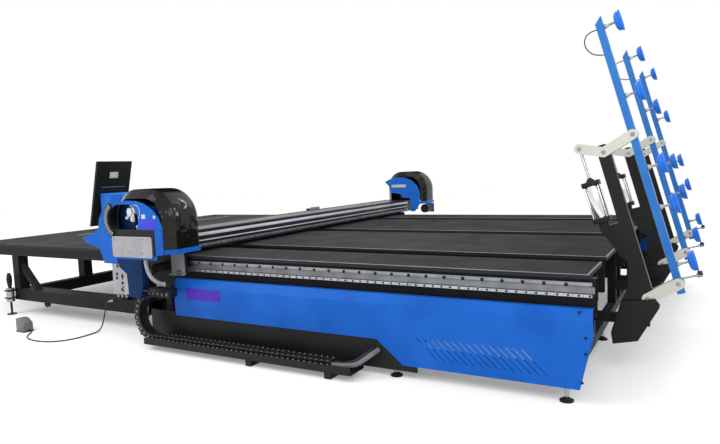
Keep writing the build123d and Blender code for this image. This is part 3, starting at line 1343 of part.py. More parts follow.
def caster_forks():
    inner = CASTER_WHEEL_WIDTH / 2 + CASTER_WHEEL_GAP
    outer = inner + CASTER_FORK_THICK
    axle = CASTER_WHEEL_RADIUS + CASTER_FLOOR_GAP
    crown = axle + CASTER_WHEEL_RADIUS + CASTER_WHEEL_GAP
    forks = []
    for x, y in caster_places():
        half = CASTER_FORK_HALF
        fork = block(x - half, x + half, y - outer, y + outer, crown, BREAK_RAIL_BOTTOM)
        for y0 in (y - outer, y + inner):
            fork += side_plate([
                (x - half, crown), (x - CASTER_AXLE_LAP, axle - CASTER_AXLE_LAP),
                (x + CASTER_AXLE_LAP, axle - CASTER_AXLE_LAP), (x + half, crown),
            ], y0, y0 + CASTER_FORK_THICK)
        forks.append(fork + cross_pin(x, axle, y - outer, y + outer, CASTER_AXLE_RADIUS))
    return forks


def caster_wheels():
    half = CASTER_WHEEL_WIDTH / 2
    axle = CASTER_WHEEL_RADIUS + CASTER_FLOOR_GAP
    wheels = []
    for x, y in caster_places():
        wheel = cross_pin(x, axle, y - half, y + half, CASTER_WHEEL_RADIUS)
        wheels.append(wheel - cross_pin(x, axle, y - half - 1, y + half + 1, CASTER_AXLE_RADIUS + PIN_CLEAR))
    return wheels


# Console

def console_right():
    return BREAK_LEFT - CONSOLE_GAP


def console_post():
    x1 = console_right()
    x0 = x1 - POST_SIDE
    half = POST_SIDE / 2
    post = tube(x0, x1, CONSOLE_Y - half, CONSOLE_Y + half, POST_BASE_THICK, POST_HEIGHT, "z")
    centre = (x0 + x1) / 2
    base = POST_BASE / 2
    right = min(centre + base, BREAK_LEFT)
    post += block(centre - base, right, CONSOLE_Y - base, CONSOLE_Y + base, 0, POST_BASE_THICK)
    return post + block(x1, BREAK_LEFT, CONSOLE_Y - half, CONSOLE_Y + half, BREAK_BEAM_BOTTOM, BOARD_BOTTOM - 2 * SHEET)


def console_box():
    x1 = console_right() + CONSOLE_BOX_DEPTH - POST_SIDE
    half = CONSOLE_BOX_WIDTH / 2
    box = block(x1 - CONSOLE_BOX_DEPTH, x1, CONSOLE_Y - half, CONSOLE_Y + half, POST_HEIGHT, CONSOLE_BOX_TOP)
    return chamfer(box.faces().sort_by(Axis.X)[-1].edges(), CONSOLE_BOX_DEPTH / 8)


def console_panel():
    lean = tan(radians(PANEL_LEAN))
    right = console_right() - POST_SIDE
    half = PANEL_WIDTH / 2
    rise = PANEL_TOP - PANEL_BOTTOM
    back = right - lean * (CONSOLE_BOX_TOP - PANEL_BOTTOM)
    outline = [
        (back, PANEL_BOTTOM), (back + lean * rise, PANEL_TOP), (back + lean * rise - PANEL_THICK, PANEL_TOP),
        (back - PANEL_THICK, PANEL_BOTTOM),
    ]
    bracket = [
        (right, POST_HEIGHT), (right, CONSOLE_BOX_TOP), (back + lean * (POST_HEIGHT - PANEL_BOTTOM), POST_HEIGHT),
    ]
    panel = side_plate(outline, CONSOLE_Y - half, CONSOLE_Y + half)
    return panel + side_plate(bracket, CONSOLE_Y - POST_SIDE, CONSOLE_Y + POST_SIDE)


# Foot switch

TREADLE_PIVOT = (PEDAL_X + PEDAL_LENGTH / 2 - TREADLE_PIN_INSET, PEDAL_BASE + TREADLE_RISE + TREADLE_THICK)


def pedal_housing():
    x0, x1 = PEDAL_X - PEDAL_LENGTH / 2, PEDAL_X + PEDAL_LENGTH / 2
    y0, y1 = PEDAL_Y - PEDAL_WIDTH / 2, PEDAL_Y + PEDAL_WIDTH / 2
    slope = PEDAL_ROOF_SHARE * PEDAL_LENGTH
    nose = PEDAL_HEIGHT - PEDAL_NOSE_DROP
    outline = [(x0, 0), (x1, 0), (x1, nose), (x0 + slope, PEDAL_HEIGHT), (x0, PEDAL_HEIGHT)]
    hood_shell = side_plate(outline, y0, y1)
    inside = [
        (x0 - 1, PEDAL_BASE), (x1 - PEDAL_WALL, PEDAL_BASE), (x1 - PEDAL_WALL, nose - PEDAL_WALL),
        (x0 + slope, PEDAL_HEIGHT - PEDAL_WALL), (x0 - 1, PEDAL_HEIGHT - PEDAL_WALL),
    ]
    hood_shell -= side_plate(inside, y0 + PEDAL_WALL, y1 - PEDAL_WALL)
    return hood_shell - cross_pin(*TREADLE_PIVOT, y0 - 1, y1 + 1, TREADLE_PIN_RADIUS + PIN_CLEAR)


def pedal_treadle():
    x, z = TREADLE_PIVOT
    y0 = PEDAL_Y - PEDAL_WIDTH / 2 + PEDAL_WALL + TREADLE_GAP
    y1 = PEDAL_Y + PEDAL_WIDTH / 2 - PEDAL_WALL - TREADLE_GAP
    left = PEDAL_X - PEDAL_LENGTH / 2 + TREADLE_TOE_INSET
    rise = (x - left) * tan(radians(TREADLE_SLOPE))
    outline = [
        (x, z - TREADLE_THICK), (x + TREADLE_THICK, z), (x, z + TREADLE_THICK),
        (left, z + rise + TREADLE_THICK / 2), (left, z + rise - TREADLE_THICK / 2),
    ]
    pin_ends = (PEDAL_Y - PEDAL_WIDTH / 2, PEDAL_Y + PEDAL_WIDTH / 2)
    return side_plate(outline, y0, y1) + cross_pin(x, z, *pin_ends, TREADLE_PIN_RADIUS)


def cord_radii():
    radii = []
    points = [Vector(*point) for point in CORD_POINTS]
    for before, here, after in zip(points, points[1:], points[2:]):
        first, second = here - before, after - here
        turn = radians(first.get_angle(second))
        radii.append(CORD_CORNER_SHARE * min(first.length, second.length) / tan(turn / 2))
    return radii


def pedal_cord():
    radii = cord_radii()
    print("cord radii", [round(radius) for radius in radii])
    path = FilletPolyline(*CORD_POINTS, radius=radii)
    start = Plane(origin=path @ 0, z_dir=path % 0)
    cord = sweep(start * Circle(CORD_RADIUS), path=path)
    share = cord.volume / (pi * CORD_RADIUS ** 2 * path.length)
    print("cord length", round(path.length), "volume share", round(share, 4))
    return cord


def cord_gland():
    x, y, z = CORD_POINTS[0]
    gland = rod((x, BREAK_FRONT, z), (x, y - GLAND_REACH, z), GLAND_RADIUS)
    return gland - rod((x, y, z), (x, y - 2 * GLAND_REACH, z), CORD_RADIUS + CORD_CLEAR)


def for_each_arm(make):
    shapes = []
    for y in SLOT_CENTRES:
        made = make(y)
        shapes += made if isinstance(made, list) else [made]
    return shapes


def all_nodes():
    return {
        "table_boards": table_boards(),
        "table_felts": table_felts(),
        "side_beams": side_beams(),
        "board_joists": board_joists(),
        "frame_posts": frame_posts(),
        "base_beams": base_beams() + cover_tabs(),
        "levelling_feet": levelling_feet(),
        "guide_rails": guide_rails(),
        "drive_racks": drive_racks(),
        "front_cover": [front_cover()],
        "rear_cover": [rear_cover()],
        "plinth_panel": [plinth_panel()],
        "chain_tray": [chain_tray()],
        "x_chain_lower": [chain_lower()],
        "floor_conduits": floor_conduits(),
        "breaking_frame": breaking_frame(),
        "breaking_board": [breaking_board()],
        "breaking_felt": [breaking_felt()],
        "jack_feet": jack_feet(),
        "console_post": [console_post()],
        "console_box": [console_box()],
        "console_panel": [console_panel()],
        "loader_outriggers": loader_outriggers(),
        "shaft_bearings": shaft_bearings(),
        "swing_gearmotor": [swing_gearmotor()],
        "pedal_housing": [pedal_housing()],
        "pedal_cord": [pedal_cord()],
        "cord_gland": [cord_gland()],
        "bridge_beam": [bridge_beam()],
        "bridge_cap": [bridge_cap()],
        "near_end_plate": [near_end_plate()],
        "near_hood": [hood(PLATE_BACK, NEAR_HOOD, NEAR_SILL)],
        "far_end_plate": [far_end_plate()],
        "far_hood": [hood(FAR_PLATE_BACK, FAR_HOOD, FAR_SILL)],
        "carriages": carriages(),
        "guide_blocks": guide_blocks(),
        "carriage_brackets": carriage_brackets(),
        "drive_motors": drive_motors(),
        "head_rails": head_rails(),
        "chain_hanger": [chain_hanger()],
        "valve_manifold": [valve_manifold()],
        "bridge_hose": [bridge_hose()],
        "x_chain_upper": [chain_upper()],
        "x_chain_bend": [chain_bend()],
        "drive_pinions": [pinion(BEAM_FACE, -1), pinion(REAR_FACE, 1)],
        "head_carriage": [head_carriage()],
        "cutter_lift": [cutter_lift()],
        "cutter_holder": [cutter_holder()],
        "breaker_bar": [breaker_bar()],
        "caster_forks": caster_forks(),
        "caster_wheels": caster_wheels(),
        "pedal_treadle": [pedal_treadle()],
        "swing_columns": for_each_arm(swing_column) + [swing_shaft()],
        "rockers": for_each_arm(rocker),
        "lower_links": for_each_arm(lower_link),
        "suction_arms": for_each_arm(suction_arm),
        "suction_cups": for_each_arm(suction_cups),
        "cup_stems": for_each_arm(cup_stems) + for_each_arm(rest_roller),
        "air_cylinders": for_each_arm(cylinder_barrel),
        "piston_rods": for_each_arm(piston_rod),
    }


CORD_NODES = ("pedal_cord",)


def machine_origin(made):
    boxes = [shape.bounding_box() for name, shapes in made.items() if name not in CORD_NODES for shape in shapes]
    low = [min(tuple(box.min)[axis] for box in boxes) for axis in range(3)]
    high = [max(tuple(box.max)[axis] for box in boxes) for axis in range(3)]
    return ((low[0] + high[0]) / 2, (low[1] + high[1]) / 2, low[2])


def main():
    made = all_nodes()
    origin = machine_origin(made)
    print("origin", [round(value, 4) for value in origin])
    os.makedirs("parts", exist_ok=True)
    for name, shapes in made.items():
        solids = each_solid([Pos(-origin[0], -origin[1], -origin[2]) * shape for shape in shapes])
        export_step(solids[0] if len(solids) == 1 else Compound(solids), f"parts/{name}.step")


if __name__ == "__main__":
    main()
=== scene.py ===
import math
import bpy
from mathutils import Matrix, Vector


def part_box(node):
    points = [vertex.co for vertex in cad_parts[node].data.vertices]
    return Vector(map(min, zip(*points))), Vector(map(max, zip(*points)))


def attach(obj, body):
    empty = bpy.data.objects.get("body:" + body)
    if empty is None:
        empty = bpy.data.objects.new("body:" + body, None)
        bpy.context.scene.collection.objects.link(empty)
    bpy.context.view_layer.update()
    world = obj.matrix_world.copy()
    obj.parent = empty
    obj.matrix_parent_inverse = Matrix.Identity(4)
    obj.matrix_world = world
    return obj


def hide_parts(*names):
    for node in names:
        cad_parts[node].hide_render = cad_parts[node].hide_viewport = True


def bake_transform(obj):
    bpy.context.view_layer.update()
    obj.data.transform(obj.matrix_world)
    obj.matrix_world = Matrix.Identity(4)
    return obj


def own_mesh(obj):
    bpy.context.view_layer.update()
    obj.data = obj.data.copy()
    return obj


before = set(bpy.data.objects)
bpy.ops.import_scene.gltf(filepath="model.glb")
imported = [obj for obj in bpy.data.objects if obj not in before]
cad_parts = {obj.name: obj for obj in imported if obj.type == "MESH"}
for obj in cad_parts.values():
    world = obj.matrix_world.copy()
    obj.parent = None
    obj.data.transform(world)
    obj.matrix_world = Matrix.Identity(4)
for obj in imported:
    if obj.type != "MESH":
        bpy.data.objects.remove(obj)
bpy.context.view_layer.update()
print("frame loaded", len(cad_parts), "nodes")

mm = 0.001
# right front corner of the cutting boards
corner = Vector((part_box("table_boards")[1].x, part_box("table_boards")[0].y, 0))


def at(x, y, z):  # millimetres from the right front corner of the boards, height from the floor
    return corner + Vector((x, y, z)) * mm


# camera where the photograph was taken from
cameraSettings = {"place": (690, -4263, 1650), "turn": 30.0, "down": 4.92, "roll": 2.28, "lens": 30.19}


def addCamera(s):
    turn, down, roll = (math.radians(s[key]) for key in ("turn", "down", "roll"))
    ahead = Vector((-math.sin(turn) * math.cos(down), math.cos(turn) * math.cos(down), -math.sin(down)))
    level = Vector((math.cos(turn), math.sin(turn), 0))
    upright = level.cross(ahead)
    right = level * math.cos(roll) - upright * math.sin(roll)
    up = level * math.sin(roll) + upright * math.cos(roll)
    bpy.ops.object.camera_add()
    camera = bpy.context.object
    camera.matrix_world = Matrix((right, up, -ahead)).transposed().to_4x4()
    camera.location = at(*s["place"])
    camera.data.lens = s["lens"]
    camera.data.sensor_width = 36
    camera.data.clip_end = 200
    bpy.context.scene.camera = camera


addCamera(cameraSettings)
print("camera placed")


# materials
def hexColour(code):  # sRGB hex to linear
    parts = [int(code[k:k + 2], 16) / 255 for k in (1, 3, 5)]
    return tuple(c / 12.92 if c <= 0.04045 else ((c + 0.055) / 1.055) ** 2.4 for c in parts) + (1,)


def addNode(tree, kind, settings={}, links={}):  # one node with its values and what feeds it
    node = tree.nodes.new(kind)
    for key, value in settings.items():
        if isinstance(key, int) or key in node.inputs:
            node.inputs[key].default_value = value
        else:
            setattr(node, key, value)
    for key, source in links.items():
        tree.links.new(source, node.inputs[key])
    return node


def newMaterial(name):
    material = bpy.data.materials.new(name)
    material.use_nodes = True
    tree = material.node_tree
    place = addNode(tree, "ShaderNodeTexCoord").outputs["Object"]
    return material, tree, tree.nodes["Principled BSDF"], place


def noise(tree, place, sizeMm, detail, **more):  # cloud with patches of about that size
    settings = {"Scale": 1 / (sizeMm * mm), "Detail": detail, **more}
    return addNode(tree, "ShaderNodeTexNoise", settings, {"Vector": place}).outputs["Fac"]


def tinted(tree, source, low, high, start=0.3, end=0.7):  # colour ramp between two hex colours
    ramp = addNode(tree, "ShaderNodeValToRGB", {}, {"Fac": source})
    first, last = ramp.color_ramp.elements
    first.position, first.color = start, hexColour(low)
    last.position, last.color = end, hexColour(high)
    return ramp.outputs["Color"]


def between(tree, source, low, high, start=0.0, end=1.0):  # a value carried over to another range
    settings = {"From Min": start, "From Max": end, "To Min": low, "To Max": high}
    return addNode(tree, "ShaderNodeMapRange", settings, {"Value": source}).outputs["Result"]


def bumped(tree, height, strength, depthMm):
    settings = {"Strength": strength, "Distance": depthMm * mm}
    return addNode(tree, "ShaderNodeBump", settings, {"Height": height}).outputs["Normal"]


def facingUp(tree):  # upward part of the surface's normal
    normal = addNode(tree, "ShaderNodeNewGeometry").outputs["Normal"]
    return addNode(tree, "ShaderNodeSeparateXYZ", {}, {0: normal}).outputs["Z"]


def feed(tree, shader, given):  # values and links into a shader's inputs
    for key, value in given.items():
        if isinstance(value, bpy.types.NodeSocket):
            tree.links.new(value, shader.inputs[key])
        else:
            shader.inputs[key].default_value = value


def paint(name, low, high, roughness, peelMm, peelDepth, coat=0.0, specular=0.5, dust=None):
    # sprayed or baked paint: soft drift of the tint and the gloss, orange peel, dust where it faces up
    material, tree, shader, place = newMaterial(name)
    drift = noise(tree, place, 350, 3)
    peel = noise(tree, place, peelMm, 2)
    tint = tinted(tree, drift, low, high)
    if dust:
        lying = addNode(tree, "ShaderNodeMath", {"operation": "MULTIPLY", "use_clamp": True},
                        {0: facingUp(tree), 1: peel})
        tint = addNode(tree, "ShaderNodeMix", {"data_type": "RGBA", 7: hexColour(dust)},
                       {0: lying.outputs["Value"], 6: tint}).outputs[2]
    feed(tree, shader, {
        "Base Color": tint, "Roughness": between(tree, drift, roughness * 0.8, roughness * 1.2),
        "Normal": bumped(tree, peel, 0.5, peelDepth), "Coat Weight": coat, "Coat Roughness": 0.12,
        "Specular IOR Level": specular,
    })
    return material


def metal(name, low, high, roughness, grainMm, along, spread=0.12):
    # ground or brushed metal: fine streaks along the way it was worked
    material, tree, shader, place = newMaterial(name)
    stretch = [1 / (grainMm * mm)] * 3
    stretch["xyz".index(along)] = 1 / (60 * grainMm * mm)
    lines = addNode(tree, "ShaderNodeMapping", {"Scale": stretch}, {"Vector": place}).outputs["Vector"]
    streak = addNode(tree, "ShaderNodeTexNoise", {"Scale": 1, "Detail": 4}, {"Vector": lines}).outputs["Fac"]
    feed(tree, shader, {
        "Base Color": tinted(tree, noise(tree, place, 160, 2), low, high), "Metallic": 1,
        "Roughness": between(tree, streak, roughness - spread, roughness + spread),
        "Normal": bumped(tree, streak, 0.25, 0.2),
    })
    return material


def moulded(name, low, high, roughness, grainMm, grainDepth, specular=0.5, sheen=0.0):
    # moulded plastic or rubber: fine spark-eroded grain and a slight cloud of tint
    material, tree, shader, place = newMaterial(name)
    cloud = noise(tree, place, 90, 4)
    grain = addNode(tree, "ShaderNodeTexVoronoi", {"Scale": 1 / (grainMm * mm)}, {"Vector": place})
    feed(tree, shader, {
        "Base Color": tinted(tree, cloud, low, high),
        "Roughness": between(tree, cloud, roughness * 0.85, roughness * 1.15),
        "Normal": bumped(tree, grain.outputs["Distance"], 0.4, grainDepth),
        "Specular IOR Level": specular, "Sheen Weight": sheen,
    })
    return material


def needleFelt(name, low, high):
    # needle-punched felt without gloss, worn paler in patches; fibres drawn 6 mm wide so that they show
    material, tree, shader, place = newMaterial(name)
    fibre = noise(tree, place, 6, 6, Roughness=0.7, Distortion=1.5)
    both = addNode(tree, "ShaderNodeMath", {"operation": "MULTIPLY_ADD", 1: 0.45},
                   {0: fibre, 2: noise(tree, place, 420, 5)})
    feed(tree, shader, {
        "Base Color": tinted(tree, both.outputs["Value"], low, high, 0.45, 1.0), "Roughness": 0.95,
        "Normal": bumped(tree, fibre, 0.6, 1.2), "Specular IOR Level": 0.04,
    })
    return material


def formedGloss(name, low, high):
    # vacuum-formed ABS: wet black gloss whose slow waves break up the highlights; the reflection is turned
    # off where it faces up, a painted shade that keeps the top dark
    material, tree, shader, place = newMaterial(name)
    haze = noise(tree, place, 25, 5)
    feed(tree, shader, {
        "Base Color": tinted(tree, haze, low, high), "Roughness": between(tree, haze, 0.04, 0.1),
        "Normal": bumped(tree, noise(tree, place, 70, 0.5), 0.5, 9),
        # painted shade: no reflection on upward faces, so the hood's top stays dark
        "Specular IOR Level": between(tree, facingUp(tree), 0.3, 0.0, 0.45, 0.9),
    })
    return material


finishes = {
    "frame_paint": paint("charcoalFramePaint", "#151518", "#1c1b1f", 0.5, 9, 0.3, specular=0.12,
                         dust="#4a4a4d"),
    "cover_blue": paint("bluePowderCoat", "#0a53ae", "#1660be", 0.36, 7, 0.25, specular=0.13),
    "arm_blue": paint("blueTubeEnamel", "#1e68b4", "#2973be", 0.34, 7, 0.25, coat=0.05, specular=0.25),
    "dark_blue": paint("shadowBluePaint", "#0a2148", "#0e2a54", 0.45, 8, 0.3, specular=0.08),
    "black_paint": paint("satinBlackPaint", "#121314", "#1a1c1a", 0.42, 9, 0.3, specular=0.2, dust="#242625"),
    "black_gloss": formedGloss("formedBlackAbs", "#0b0b0a", "#141412"),
    "felt": needleFelt("greyNeedleFelt", "#2a2a2b", "#3e3e3f"),
    "board": moulded("sealedBoardEdge", "#131315", "#1a1a1d", 0.6, 5, 0.3, specular=0.3),
    "rail_steel": metal("groundRailSteel", "#7d8286", "#9a9ea1", 0.42, 3, "x"),
    "beam_anodised": paint("darkAnodisedExtrusion", "#18171d", "#222128", 0.32, 6, 0.15, specular=0.2),
    "silver": metal("satinAluminium", "#9a9a9f", "#ababb0", 0.46, 2, "z"),
    "off_white": paint("ivoryEnamel", "#bdbeb2", "#cacbc0", 0.3, 7, 0.2, coat=0.1, specular=0.35),
    "cup_rubber": moulded("blueCupRubber", "#0f68d2", "#1b76e0", 0.5, 4, 0.2, specular=0.35, sheen=0.1),
    "chain_plastic": moulded("blackChainNylon", "#131314", "#1b1b1d", 0.48, 3, 0.2, specular=0.4),
    "hose_plastic": moulded("paleHosePlastic", "#9a9da1", "#b4b6b8", 0.42, 3, 0.15),
    "cord_rubber": moulded("blackCordRubber", "#121213", "#1b1b1c", 0.5, 3, 0.15),
    "pedal_grey": moulded("greyCastHousing", "#5f6160", "#757776", 0.5, 3, 0.3),
    "chrome_rod": metal("hardChrome", "#d2d3d6", "#e2e3e5", 0.14, 2, "z", 0.06),
}
# bridge strips: pale paint whose brightness is a painted reflection of bright surroundings; the faint violet
# is the anodising's own tint
paintedReflectionStrip = paint("clearAnodisedStripPaintedReflection", "#b9b8c4", "#cdccd8", 0.3, 5, 0.1, specular=0.5)
zincPlate = metal("zincPlatedScrew", "#8d9092", "#a6a8a9", 0.4, 2, "y")
paleFelt = needleFelt("wornPaleFelt", "#343536", "#4c4d4e")
violetPlate = paint("violetAnodisedPlate", "#3f1f98", "#4d2ab0", 0.4, 4, 0.1, specular=0.2)
indigoPlate = paint("indigoAnodisedPlate", "#3436b4", "#4548cc", 0.4, 4, 0.1, specular=0.2)
polishedTube = metal("polishedBarrelAluminium", "#cfd0d3", "#e4e5e8", 0.2, 2, "z", 0.08)
whiteNylon = moulded("whiteNylon", "#b9bbbd", "#cfd0d1", 0.45, 3, 0.15)
# far end plate: the covers' blue made lighter, painted light over the hood's shade on it
litFarBlue = paint("blueFarPlateLitCoat", "#1a66c8", "#2874d6", 0.36, 7, 0.25, specular=0.13)
# console box: a lighter blue, painted light over the shade it falls in
litConsoleBlue = paint("consoleBlueEnamel", "#1c6cd6", "#2a79e0", 0.36, 7, 0.25, specular=0.2)
milledFace = metal("milledSteelStrip", "#6c6e71", "#888a8d", 0.5, 4, "x")
brightRail = metal("brightGroundRail", "#a3a6aa", "#b9bcc0", 0.34, 3, "x")
# pale grey paint in place of bare aluminium: its paleness is a painted reflection on the carriage brackets
# and a painted highlight on the chain pins
paintedHighlightGrey = paint("clearAnodisedBracketPaintedHighlight", "#83848d", "#95969f", 0.36, 5, 0.15, specular=0.4)
smokeConduit = moulded("smokeGreyConduit", "#66696c", "#7c7f82", 0.42, 3, 0.15)
trimMetal = metal("dullTrimAluminium", "#6f6f72", "#87878a", 0.45, 2, "x")
satinBlack, cordRubber = finishes["black_paint"], finishes["cord_rubber"]

nodeFinish = {
    "frame_paint": ("side_beams", "board_joists", "frame_posts", "base_beams", "breaking_frame",
                    "console_post"),
    "cover_blue": ("front_cover", "rear_cover", "console_box", "near_end_plate", "far_end_plate"),
    "arm_blue": ("suction_arms",),
    "dark_blue": ("chain_hanger",),
    "black_paint": ("plinth_panel", "chain_tray", "console_panel", "loader_outriggers", "shaft_bearings",
                    "swing_gearmotor", "carriages", "drive_motors", "cutter_lift", "caster_forks",
                    "pedal_treadle", "swing_columns", "jack_feet", "levelling_feet", "air_cylinders"),
    "black_gloss": ("near_hood", "far_hood"),
    "felt": ("table_felts", "breaking_felt"),
    "board": ("table_boards", "breaking_board"),
    "rail_steel": ("guide_rails", "drive_racks", "guide_blocks", "head_rails",
                   "drive_pinions", "cutter_holder", "cup_stems"),
    "beam_anodised": ("bridge_beam",),
    "silver": ("bridge_cap", "carriage_brackets", "valve_manifold", "head_carriage", "breaker_bar"),
    "off_white": ("rockers", "lower_links"),
    "cup_rubber": ("suction_cups",),
    "chain_plastic": ("x_chain_lower", "x_chain_upper", "x_chain_bend", "cord_gland"),
    "hose_plastic": ("floor_conduits", "bridge_hose"),
    "cord_rubber": ("pedal_cord", "caster_wheels"),
    "pedal_grey": ("pedal_housing",),
    "chrome_rod": ("piston_rods",),
}
# single nodes that look different from the rest of their slot; the console box and the far end plate get
# lighter blues, painted light over their shade, and the carriage brackets a pale grey paint, a painted
# reflection
ownFinish = {"console_box": litConsoleBlue, "guide_rails": brightRail, "carriage_brackets": paintedHighlightGrey,
             "breaking_felt": paleFelt, "far_end_plate": litFarBlue, "cord_gland": whiteNylon}


def dress(piece, material):
    piece.data.materials.clear()
    piece.data.materials.append(material)


for finish, names in nodeFinish.items():
    for name in names:
        dress(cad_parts[name], finishes[finish])
for name, finish in ownFinish.items():
    dress(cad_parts[name], finish)
print("finishes given to the solids")


# working with operators
def toMode(mode):
    bpy.ops.object.mode_set(mode=mode)


def deselect():
    if bpy.context.object and bpy.context.object.mode != "OBJECT":
        toMode("OBJECT")
    bpy.ops.object.select_all(action="DESELECT")


def pickOnly(*pieces):
    deselect()
    for piece in pieces:
        piece.select_set(True)
    bpy.context.view_layer.objects.active = pieces[0]


def applyPlace(piece):  # the place goes into the mesh
    pickOnly(piece)
    bpy.ops.object.transform_apply(location=True, rotation=True, scale=True)
    return piece


def startSelect(piece, kind):  # nothing selected, ready to flag faces or edges
    pickOnly(piece)
    toMode("EDIT")
    bpy.ops.mesh.select_mode(type=kind)
    bpy.ops.mesh.select_all(action="DESELECT")
    toMode("OBJECT")


def selectFaces(piece, test):  # leaves edit mode on, with the faces that pass selected
    startSelect(piece, "FACE")
    for face in piece.data.polygons:
        face.select = test(face.center, face.normal)
    toMode("EDIT")


def selectEdges(piece, test):  # leaves edit mode on, with the edges that pass selected
    startSelect(piece, "EDGE")
    corners = piece.data.vertices
    for edge in piece.data.edges:
        edge.select = test(*(corners[k].co for k in edge.vertices))
    toMode("EDIT")


def bevelEdges(piece, offset, segments, test):  # rounds or slopes the edges that pass
    selectEdges(piece, test)
    bpy.ops.mesh.bevel(offset=offset * mm, segments=segments, affect="EDGES")
    toMode("OBJECT")


def deleteFaces(piece, test):
    selectFaces(piece, test)
    bpy.ops.mesh.delete(type="FACE")
    toMode("OBJECT")


def closeEdit():  # faces turned outwards, edit mode left
    bpy.ops.mesh.select_all(action="SELECT")
    bpy.ops.mesh.normals_make_consistent(inside=False)
    toMode("OBJECT")


def thickened(piece, thickness):  # sheet given its thickness inwards
    sheet = piece.modifiers.new("sheet", "SOLIDIFY")
    sheet.thickness, sheet.offset = thickness * mm, -1
    pickOnly(piece)
    bpy.ops.object.modifier_apply(modifier="sheet")
    return piece


def roundOrigin(piece):  # a block given by plain millimetres, not from the table's corner
    piece.data.transform(Matrix.Translation(-corner))
    return piece


def plainBlock(name, low, high):  # a block between two corners
    deselect()
    bpy.ops.mesh.primitive_cube_add(size=1, location=(low + high) / 2, scale=high - low)
    piece = bpy.context.object
    piece.name = name
    return applyPlace(piece)


def softBlock(name, low, high, edge, segments=2):  # a block with softened edges, given in millimetres
    piece = plainBlock(name, at(*low), at(*high))
    toMode("EDIT")
    bpy.ops.mesh.bevel(offset=edge * mm, segments=segments, affect="EDGES")
    toMode("OBJECT")
    return piece


def turned(name, profile, sides=28):  # a round shape along Z, its end extruded and scaled step by step
    deselect()
    bpy.ops.mesh.primitive_circle_add(vertices=sides, radius=profile[0][0] * mm, fill_type="NGON",
                                      location=(0, 0, profile[0][1] * mm))
    piece = bpy.context.object
    piece.name = name
    bpy.ops.object.transform_apply(location=True)
    toMode("EDIT")
    bpy.ops.mesh.select_all(action="SELECT")
    for (r0, z0), (r1, z1) in zip(profile, profile[1:]):
        bpy.ops.mesh.extrude_region_move(TRANSFORM_OT_translate={"value": (0, 0, (z1 - z0) * mm)})
        if r1 != r0:
            bpy.ops.transform.resize(value=(r1 / r0, r1 / r0, 1), center_override=(0, 0, z1 * mm))
    closeEdit()
    return piece


def aimed(piece, place, axis):  # turns a shape's Z to an axis and puts it in place
    piece.rotation_mode = "QUATERNION"
    piece.rotation_quaternion = Vector(axis).to_track_quat("Z", "Y")
    piece.location = place
    return applyPlace(piece)


def joined(name, pieces):
    pickOnly(*pieces)
    if len(pieces) > 1:
        bpy.ops.object.join()
    pieces[0].name = name
    return pieces[0]


def repeated(model, name, places):  # copies with their own mesh, joined, and the model taken away
    copies = []
    for place in places:
        copy = model.copy()
        copy.data = model.data.copy()
        if isinstance(place, Matrix):
            copy.matrix_world = place
        else:
            copy.location = place
        bpy.context.collection.objects.link(copy)
        copies.append(copy)
    bpy.data.objects.remove(model)
    pickOnly(*copies)
    bpy.ops.object.transform_apply(location=True, rotation=True, scale=True)
    return joined(name, copies)


def finished(piece, material, body, slot, *nodes):  # smooth, finish, and what it moves with and stands for
    if piece.type == "MESH":
        pickOnly(piece)
        bpy.ops.object.shade_smooth_by_angle(angle=math.radians(35))
    if material:
        dress(piece, material)
    if body:
        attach(piece, body)
    if nodes:
        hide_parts(*nodes)
    return piece


def setOut(model, axis, places, *given):  # a model along Z turned to an axis, repeated and finished
    name = model.name
    finished(repeated(aimed(model, (0, 0, 0), axis), name, places), *given)


def route(name, points, diameter=0.0):  # NURBS line led by the points, round if it has a diameter
    curve = bpy.data.curves.new(name, "CURVE")
    curve.dimensions = "3D"
    spline = curve.splines.new("NURBS")
    spline.points.add(len(points) - 1)
    for point, place in zip(spline.points, points):
        point.co = (*place, 1)
    spline.order_u = 3
    spline.use_endpoint_u = True
    spline.resolution_u = 12
    curve.resolution_u = 12
    curve.bevel_depth = diameter / 2
    curve.bevel_resolution = 4
    piece = bpy.data.objects.new(name, curve)
    bpy.context.collection.objects.link(piece)
    return piece, spline.calc_length()


def socketScrew(name, radius, height):  # cap screw along Z with its socket
    piece = turned(name, [(radius, 0), (radius, height * 0.85), (radius * 0.9, height)], 12)
    selectFaces(piece, lambda middle, normal: normal.z > 0.9)
    bpy.ops.mesh.inset(thickness=radius * 0.42 * mm)
    bpy.ops.mesh.inset(thickness=0.02 * mm, depth=-height * 0.5 * mm)
    toMode("OBJECT")
    return piece


# foot switch cord, seen from end to end
cordSettings = {
    "diameter": 0.014, "sleeveStart": (0, -2, 0),
    "points": (
        (-5086, 112, 300), (-5086, 80, 300), (-5084, 50, 284), (-5080, 24, 241), (-5076, 2, 187),
        (-5072, -17, 128), (-5068, -40, 72), (-5061, -72, 32), (-5053, -115, 11), (-5045, -170, 8.5),
        (-5040, -230, 8), (-5038, -290, 8), (-5042, -350, 8), (-5052, -406, 8), (-5070, -457, 8),
        (-5098, -502, 8), (-5136, -541, 8), (-5184, -573, 8), (-5241, -597, 8), (-5306, -612, 8),
        (-5376, -619, 8), (-5446, -617, 8), (-5511, -607, 8), (-5571, -589, 8), (-5626, -563, 8),
        (-5671, -531, 8), (-5708, -494, 8.5), (-5741, -457, 9.5), (-5770, -427, 11), (-5798, -408, 13),
        (-5826, -400, 15), (-5855, -400, 15),
    ),
    "sleeve": [(12.5, 0), (12.5, 8), (10.5, 10), (10.5, 18), (9.8, 20), (9.8, 28), (9, 30), (9, 38),
               (7.6, 44)],
}
cordPlaces = [at(*point) for point in cordSettings["points"]]
footCord, footCordLength = route("footCord", cordPlaces, cordSettings["diameter"])
finished(footCord, cordRubber, "base", "cord_rubber", "pedal_cord")
sleevePlace = cordPlaces[0] + Vector(cordSettings["sleeveStart"]) * mm
